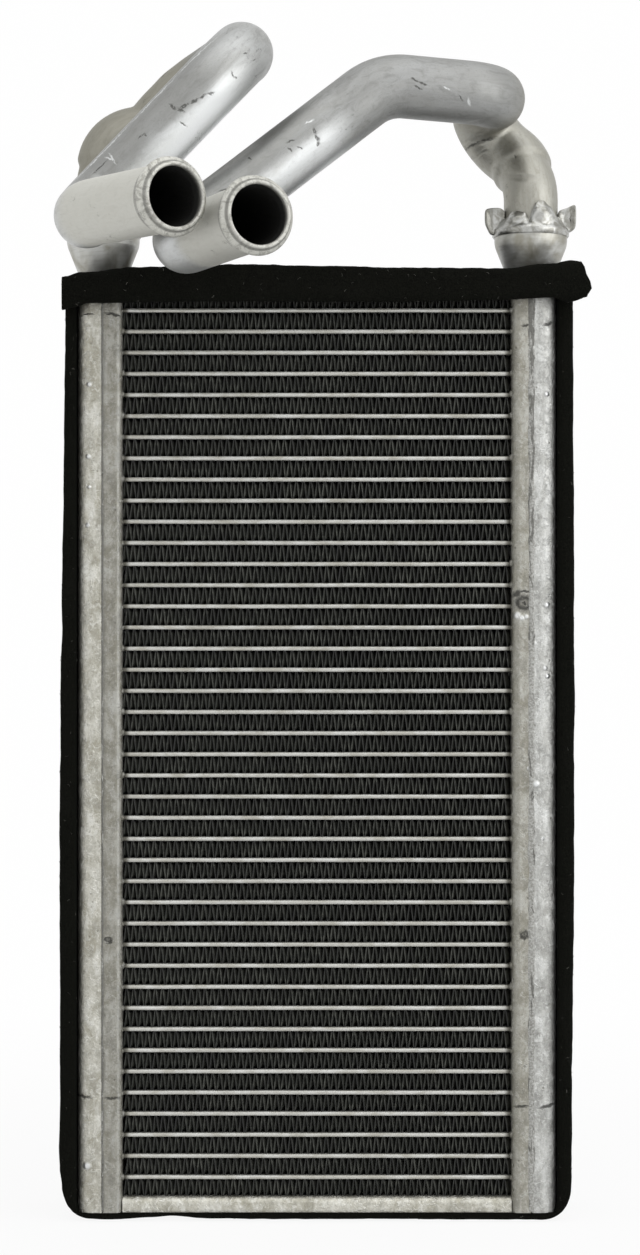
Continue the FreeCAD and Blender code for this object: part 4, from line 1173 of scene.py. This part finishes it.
# The top foam's section: the radius over its top edges, points up a flap as (tuck, share of its height),
# turns over an edge in radians, and shares of the way across.
FLAP_EDGE = 1.6
FLAP_POINTS = [(0.25, 0.0), (0.0, 0.25), (0.0, 0.5), (0.0, 0.75), (0.0, 1.0)]
EDGE_TURNS = [0.35, 0.75, 1.15]
TOP_SHARES = [0.04, 0.2, 0.35, 0.5, 0.65, 0.8, 0.96]
TOP_FOAM_STEPS = 190


# Rings of the side foam down one side, round a corner and along half of the bottom, and the height under
# which it lies flat.
SIDE_STEPS, CORNER_STEPS, BOTTOM_STEPS = 150, 14, 80
STRIP_LIES = 3.0


def strip_stations():
    """Outer and inner edge (x, z) of the side foam: down the left side, round the corner, to the middle."""
    outer = TANK_FACE + SIDE_FOAM
    stations = []
    for i in range(SIDE_STEPS + 1):
        z = STRIP_TOP + (FOAM_CORNER - STRIP_TOP) * i / SIDE_STEPS
        stations.append(((-outer, z), (-TANK_FACE, max(z, SEAT_FOAM))))
    for i in range(1, CORNER_STEPS):
        turn = math.pi / 2 * i / CORNER_STEPS
        x, z = -outer + FOAM_CORNER * (1 - math.cos(turn)), FOAM_CORNER * (1 - math.sin(turn))
        lift = 3.0 * (1 - math.sin(turn)) if i < CORNER_STEPS / 2 else 0.0
        stations.append(((x, z), (-TANK_FACE + 1.2 * (1 - math.cos(turn)), SEAT_FOAM + lift)))
    for i in range(BOTTOM_STEPS + 1):
        x = (-outer + FOAM_CORNER) * (1 - i / BOTTOM_STEPS)
        stations.append(((x, 0.0), (x, SEAT_FOAM)))
    return stations


def foam_strip():
    """The foam round both sides and the bottom, a little wavy, thin under the core."""
    left = strip_stations()
    right = [((-outer[0], outer[1]), (-inner[0], inner[1])) for outer, inner in reversed(left[:-1])]
    across = [-HALF_DEPTH + 2 * HALF_DEPTH * j / 16 for j in range(17)]
    rings = []
    for (ox, oz), (ix, iz) in left + right:
        beside = oz > STRIP_LIES
        away = Vector((ox - ix, 0, oz - iz)).normalized()
        push = 0.32 * ragged(ox, 0, oz, 16.0) + 0.10 * ragged(ox, 9, oz, 2.2)
        push = push * 0.5 + table(LEFT_BULGE if ox < 0 else RIGHT_BULGE, oz)
        sag = table(FOAM_SAG, ox) if oz < STRIP_LIES else 0.0
        outer_edge = Vector((ox, 0, oz + sag)) + away * (push if beside else 0.25 * push)
        inner_edge = Vector((ix, 0, iz))
        ring = []
        for k, y in enumerate(across):
            lip = 0.10 if k in (0, 16) else 0.0
            wave = 0.10 * ragged(ox, y, oz, 5.0)
            ring.append(outer_edge.lerp(inner_edge, lip) + away * wave + Vector((0, y * 0.96, 0)))
        front = -HALF_DEPTH + 0.35 + 0.18 * ragged(ox, 3, oz, 6.0)
        for share in (0.25, 0.5, 0.75):
            ring.append(outer_edge.lerp(inner_edge, share) + Vector((0, -front, 0)))
        for y in reversed(across):
            ring.append(inner_edge + Vector((0, y * (0.90 if beside else 0.985), 0)))
        for share in (0.75, 0.5, 0.25):
            ring.append(outer_edge.lerp(inner_edge, share) + Vector((0, front, 0)))
        rings.append(ring)
    return skin("side_foam_felt", rings, foam_felt)


def top_ring(x):
    """The top foam in section at a place along x: over the outside from front to back, then back inside."""
    high, low = table(FLAP_TOP, x), table(FLAP_LOW, x)
    flap = FLAP_FOAM + 0.18 * ragged(x, 0, 0, 12.0)
    front, back = -HALF_DEPTH - flap, HALF_DEPTH + flap
    rise = high - FLAP_EDGE
    over = [(FLAP_EDGE * (1 - math.cos(turn)), rise + FLAP_EDGE * math.sin(turn)) for turn in EDGE_TURNS]
    outside = [(front + tuck, low + (rise - low) * share, 0.16) for tuck, share in FLAP_POINTS]
    outside += [(front + inset, z, 0.16) for inset, z in over]
    outside += [(front + FLAP_EDGE + (back - front - 2 * FLAP_EDGE) * share,
                 high - 0.25 * math.sin(math.pi * share), 0.10) for share in TOP_SHARES]
    outside += [(back - inset, z, 0.16) for inset, z in reversed(over)]
    outside += [(back - tuck, low + (rise - low) * share, 0.16) for tuck, share in reversed(FLAP_POINTS)]
    ring = [Vector((x, y + size * ragged(x, y, z, 2.4), z + size * ragged(x + 40, y, z, 2.4)))
            for y, z, size in outside]
    under = min(METAL_TOP + 0.05, high - 0.55)
    near = HALF_DEPTH + 0.05
    inside = [(HALF_DEPTH + FLAP_EDGE, low - 0.1), (near, low + 0.2), (near, METAL_TOP - 3.0), (near, under),
              (6.0, under), (0.0, under)]
    ring += [Vector((x, y, z)) for y, z in inside]
    ring += [Vector((x, -y, z)) for y, z in reversed(inside[:-1])]
    return ring


def top_strip():
    """The foam folded over the core's top, its flaps before and behind, its right end cut ragged."""
    left, right = TOP_FOAM_ENDS
    rings = [top_ring(left + (right - left) * i / TOP_FOAM_STEPS) for i in range(TOP_FOAM_STEPS + 1)]
    piece = skin("top_foam_felt", rings, top_felt)
    for vertex in piece.data.vertices:
        x, y, z = vertex.co / MM
        if x > CUT_START:
            limit = (table(CUT_SLANT, z) if y < 6.0 else CUT_BEHIND) + 0.5 * ragged(0, y, z, 1.8)
            stretch = (limit - CUT_START) / (right - CUT_START)
            vertex.co.x = (CUT_START + (x - CUT_START) * stretch) * MM
    for side in (-1, 1):
        open_hole(piece, side * NECK_PLACE)
    return piece


def open_hole(piece, x):
    """Cuts the round hole for a neck cup through the top foam."""
    bpy.ops.mesh.primitive_cylinder_add(
        vertices=64, radius=FOAM_HOLE * MM, depth=12 * MM, location=(x * MM, 0, METAL_TOP * MM))
    tool = bpy.context.object
    cut = piece.modifiers.new("Hole", "BOOLEAN")
    cut.operation, cut.object, cut.solver = "DIFFERENCE", tool, "EXACT"
    depsgraph = bpy.context.evaluated_depsgraph_get()
    mesh = bpy.data.meshes.new_from_object(piece.evaluated_get(depsgraph))
    piece.modifiers.remove(cut)
    piece.data = mesh
    bpy.data.objects.remove(tool)


def scattered_lint(name, base, per_area, seed):
    """Short bent fibres lying on a foam's surface, so many for each square metre."""
    shaper = Shaper(f"{name} scatter", lint, {
        "Per Area": per_area, "Length": 0.9 * MM, "Thickness": 0.038 * MM, "Lift": 0.02 * MM,
        "Crook": 0.2 * MM, "Seed": seed})
    spots = shaper.node("GeometryNodeDistributePointsOnFaces", {}, {
        "Mesh": shaper.given("Geometry"), "Density": shaper.given("Per Area"), "Seed": shaper.given("Seed")})
    length, lift = shaper.given("Length"), shaper.given("Lift")
    line = shaper.node("GeometryNodeCurveQuadraticBezier", {}, {
        "Resolution": 4, "Start": shaper.combine(-length / 2, 0.0, lift),
        "Middle": shaper.combine(0.0, length / 3, shaper.given("Crook")),
        "End": shaper.combine(length / 2, 0.0, lift)})
    ring = shaper.node("GeometryNodeCurvePrimitiveCircle", {"mode": "RADIUS"}, {
        "Resolution": 3, "Radius": shaper.given("Thickness")})
    fibre = shaper.node("GeometryNodeCurveToMesh", {}, {
        "Curve": line, "Profile Curve": ring, "Fill Caps": True})
    turned = shaper.node("FunctionNodeRotateEuler", {"rotation_type": "AXIS_ANGLE", "space": "LOCAL"}, {
        "Rotation": spots.other("Rotation"), "Axis": (0.0, 0.0, 1.0),
        "Angle": shaper.chance(0.0, 6.28, shaper.given("Seed"))})
    size = shaper.chance(0.25, 1.0, seed + 1)
    fibres = shaper.copies(spots, fibre, Rotation=turned, Scale=shaper.combine(size, size, 1.0))
    return shaper.build(name, fibres, base.data.copy())


# Putting the pieces on the frame

def finish_node(name, material):
    """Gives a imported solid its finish."""
    data = nodes[name].data
    data.materials.clear()
    data.materials.append(material)


def keep(piece, slot, *replaced):
    """Lets a piece ride on the frame, in place of the nodes that it replaces. The slot is not used."""
    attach(piece, "root")
    if replaced:
        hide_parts(*replaced)
    return piece


keep(folded_fins(), "fin", "corrugated_fins")
keep(outward(tube_stack()), "core_tube", *[f"flat_tube_{i + 1:02d}" for i in range(TUBE_COUNT)])
keep(braze_fillets(), "core_tube")
keep(seam_beads(), "header")
for word, side in (("left", -1), ("right", 1)):
    keep(collar(word, side, collar_metal), "collar", f"{word}_retaining_collar")

for word, tank, header in (
    ("left", left_tank_metal, left_header_metal),
    ("right", right_tank_metal, right_header_metal),
):
    finish_node(f"{word}_end_tank", tank)
    finish_node(f"{word}_header_plate", header)
    finish_node(f"{word}_neck_cup", cup_metal)
    finish_node(f"{word}_seal_ring", rubber)
finish_node("bottom_side_plate", plate_metal)
finish_node("top_side_plate", plate_metal)
finish_node("bottom_end_caps", cap_metal)

# Creases: the place on the route that they are near, their length, the side of the pipe, their depth.
INLET_CREASES = [
    ((-35.6, 5.0, 291.0), 7.0, (-0.6, -0.2, 0.8), -0.35),
    ((-53.0, 2.5, 279.0), 6.0, (0.8, 0.1, -0.6), 0.25),
]
OUTLET_CREASES = [
    ((47.5, -8.0, 287.0), 6.5, (-0.5, -0.3, -0.8), -0.5),
    ((37.5, 12.0, 289.5), 6.0, (0.6, -0.6, -0.5), 0.4),
]

# How far along each pipe it starts to widen.
INLET_SWAGE = 21.52
OUTLET_SWAGE = 22.45
keep(bent_pipe("inlet_pipe_wall", INLET_ROUTE, INLET_SWAGE, inlet_metal, INLET_CREASES), "pipe", "inlet_pipe")
keep(bent_pipe("outlet_pipe_wall", OUTLET_ROUTE, OUTLET_SWAGE, outlet_metal, OUTLET_CREASES),
     "pipe", "outlet_pipe")

strip = keep(foam_strip(), "foam", "side_foam")
cover = keep(top_strip(), "foam", "top_foam")
keep(scattered_lint("side_foam_lint", strip, per_area=42000.0, seed=3), "foam")
keep(scattered_lint("top_foam_lint", cover, per_area=60000.0, seed=8), "foam")


# Floor, light and camera, with places and lengths in metres

FLOOR_DROP = 0.0004
FLOOR_HALF_WIDTH = 3.2
FLOOR_FRONT, FLOOR_BACK, FLOOR_CURVE, WALL_TOP = -3.0, 1.1, 0.9, 3.6


def floor_and_backdrop():
    """A pale floor that curves up behind the object, white where it is seen or mirrored."""
    turns = [math.pi / 2 * i / 12 for i in range(1, 13)]
    side_view = [(FLOOR_FRONT, 0.0), (FLOOR_BACK, 0.0)]
    side_view += [(FLOOR_BACK + FLOOR_CURVE * math.sin(turn), FLOOR_CURVE * (1 - math.cos(turn)))
                  for turn in turns]
    side_view += [(FLOOR_BACK + FLOOR_CURVE, WALL_TOP)]
    points = [(x, y, z - FLOOR_DROP) for y, z in side_view for x in (-FLOOR_HALF_WIDTH, FLOOR_HALF_WIDTH)]
    faces = [(2 * i, 2 * i + 1, 2 * i + 3, 2 * i + 2) for i in range(len(side_view) - 1)]
    mesh = bpy.data.meshes.new("floor")
    mesh.from_pydata(points, [], faces)
    mesh.shade_smooth()
    material, tree, shader = surface("pale floor")
    dress(tree, shader, Base_Color=(0.86, 0.86, 0.86, 1.0), Roughness=0.8, Specular_IOR_Level=0.2)
    glow = tree.node("ShaderNodeEmission", {}, {"Color": (1.0, 1.0, 1.0, 1.0), "Strength": 1.0})
    share = tree.background_seen() * in_mm(tree).vector("LENGTH").ease(60.0, 420.0, 0.91, 0.988)
    mixed = tree.node("ShaderNodeMixShader", {}, [share, Field(tree, shader.outputs[0]), glow])
    tree.group.links.new(mixed.socket, tree.group.nodes["Material Output"].inputs["Surface"])
    mesh.materials.append(material)
    placed("floor", mesh)


def room_light():
    """An even pale room, white where it is seen or mirrored."""
    world = bpy.data.worlds.new("studio")
    world.use_nodes = True
    tree = Tree(world.node_tree)
    level = tree.background_seen() * 0.45 + 0.55
    tree.feed(world.node_tree.nodes["Background"].inputs["Color"], tree.combine(level, level, level))
    bpy.context.scene.world = world


def soft_light(name, place, target, wide, high, power):
    """A large soft lamp turned to a point."""
    lamp = bpy.data.lights.new(name, "AREA")
    lamp.shape, lamp.size, lamp.size_y, lamp.energy = "RECTANGLE", wide, high, power
    holder = placed(name, lamp)
    holder.location = place
    holder.rotation_euler = (Vector(target) - Vector(place)).to_track_quat("-Z", "Y").to_euler()


floor_and_backdrop()
room_light()
soft_light("left softbox", (-1.25, -0.85, 0.30), (0, 0, 0.15), wide=0.7, high=1.3, power=1.8)
soft_light("right softbox", (1.20, -0.90, 0.35), (0, 0, 0.15), wide=1.5, high=1.4, power=12.0)
soft_light("overhead softbox", (0.2, -0.5, 1.6), (0, 0, 0.2), wide=2.0, high=1.4, power=9.0)

# The camera stands square before the object, at half its height.
camera_data = bpy.data.cameras.new("camera")
camera_data.lens = 73.84
camera_data.sensor_width = 36.0
camera_data.clip_start = 0.01
camera = placed("camera", camera_data)
camera.location = (0.77 * MM, -673.5 * MM, 152.13 * MM)
camera.rotation_euler = (math.pi / 2, 0, 0)
bpy.context.scene.camera = camera
bpy.context.scene.view_settings.view_transform = "Standard"
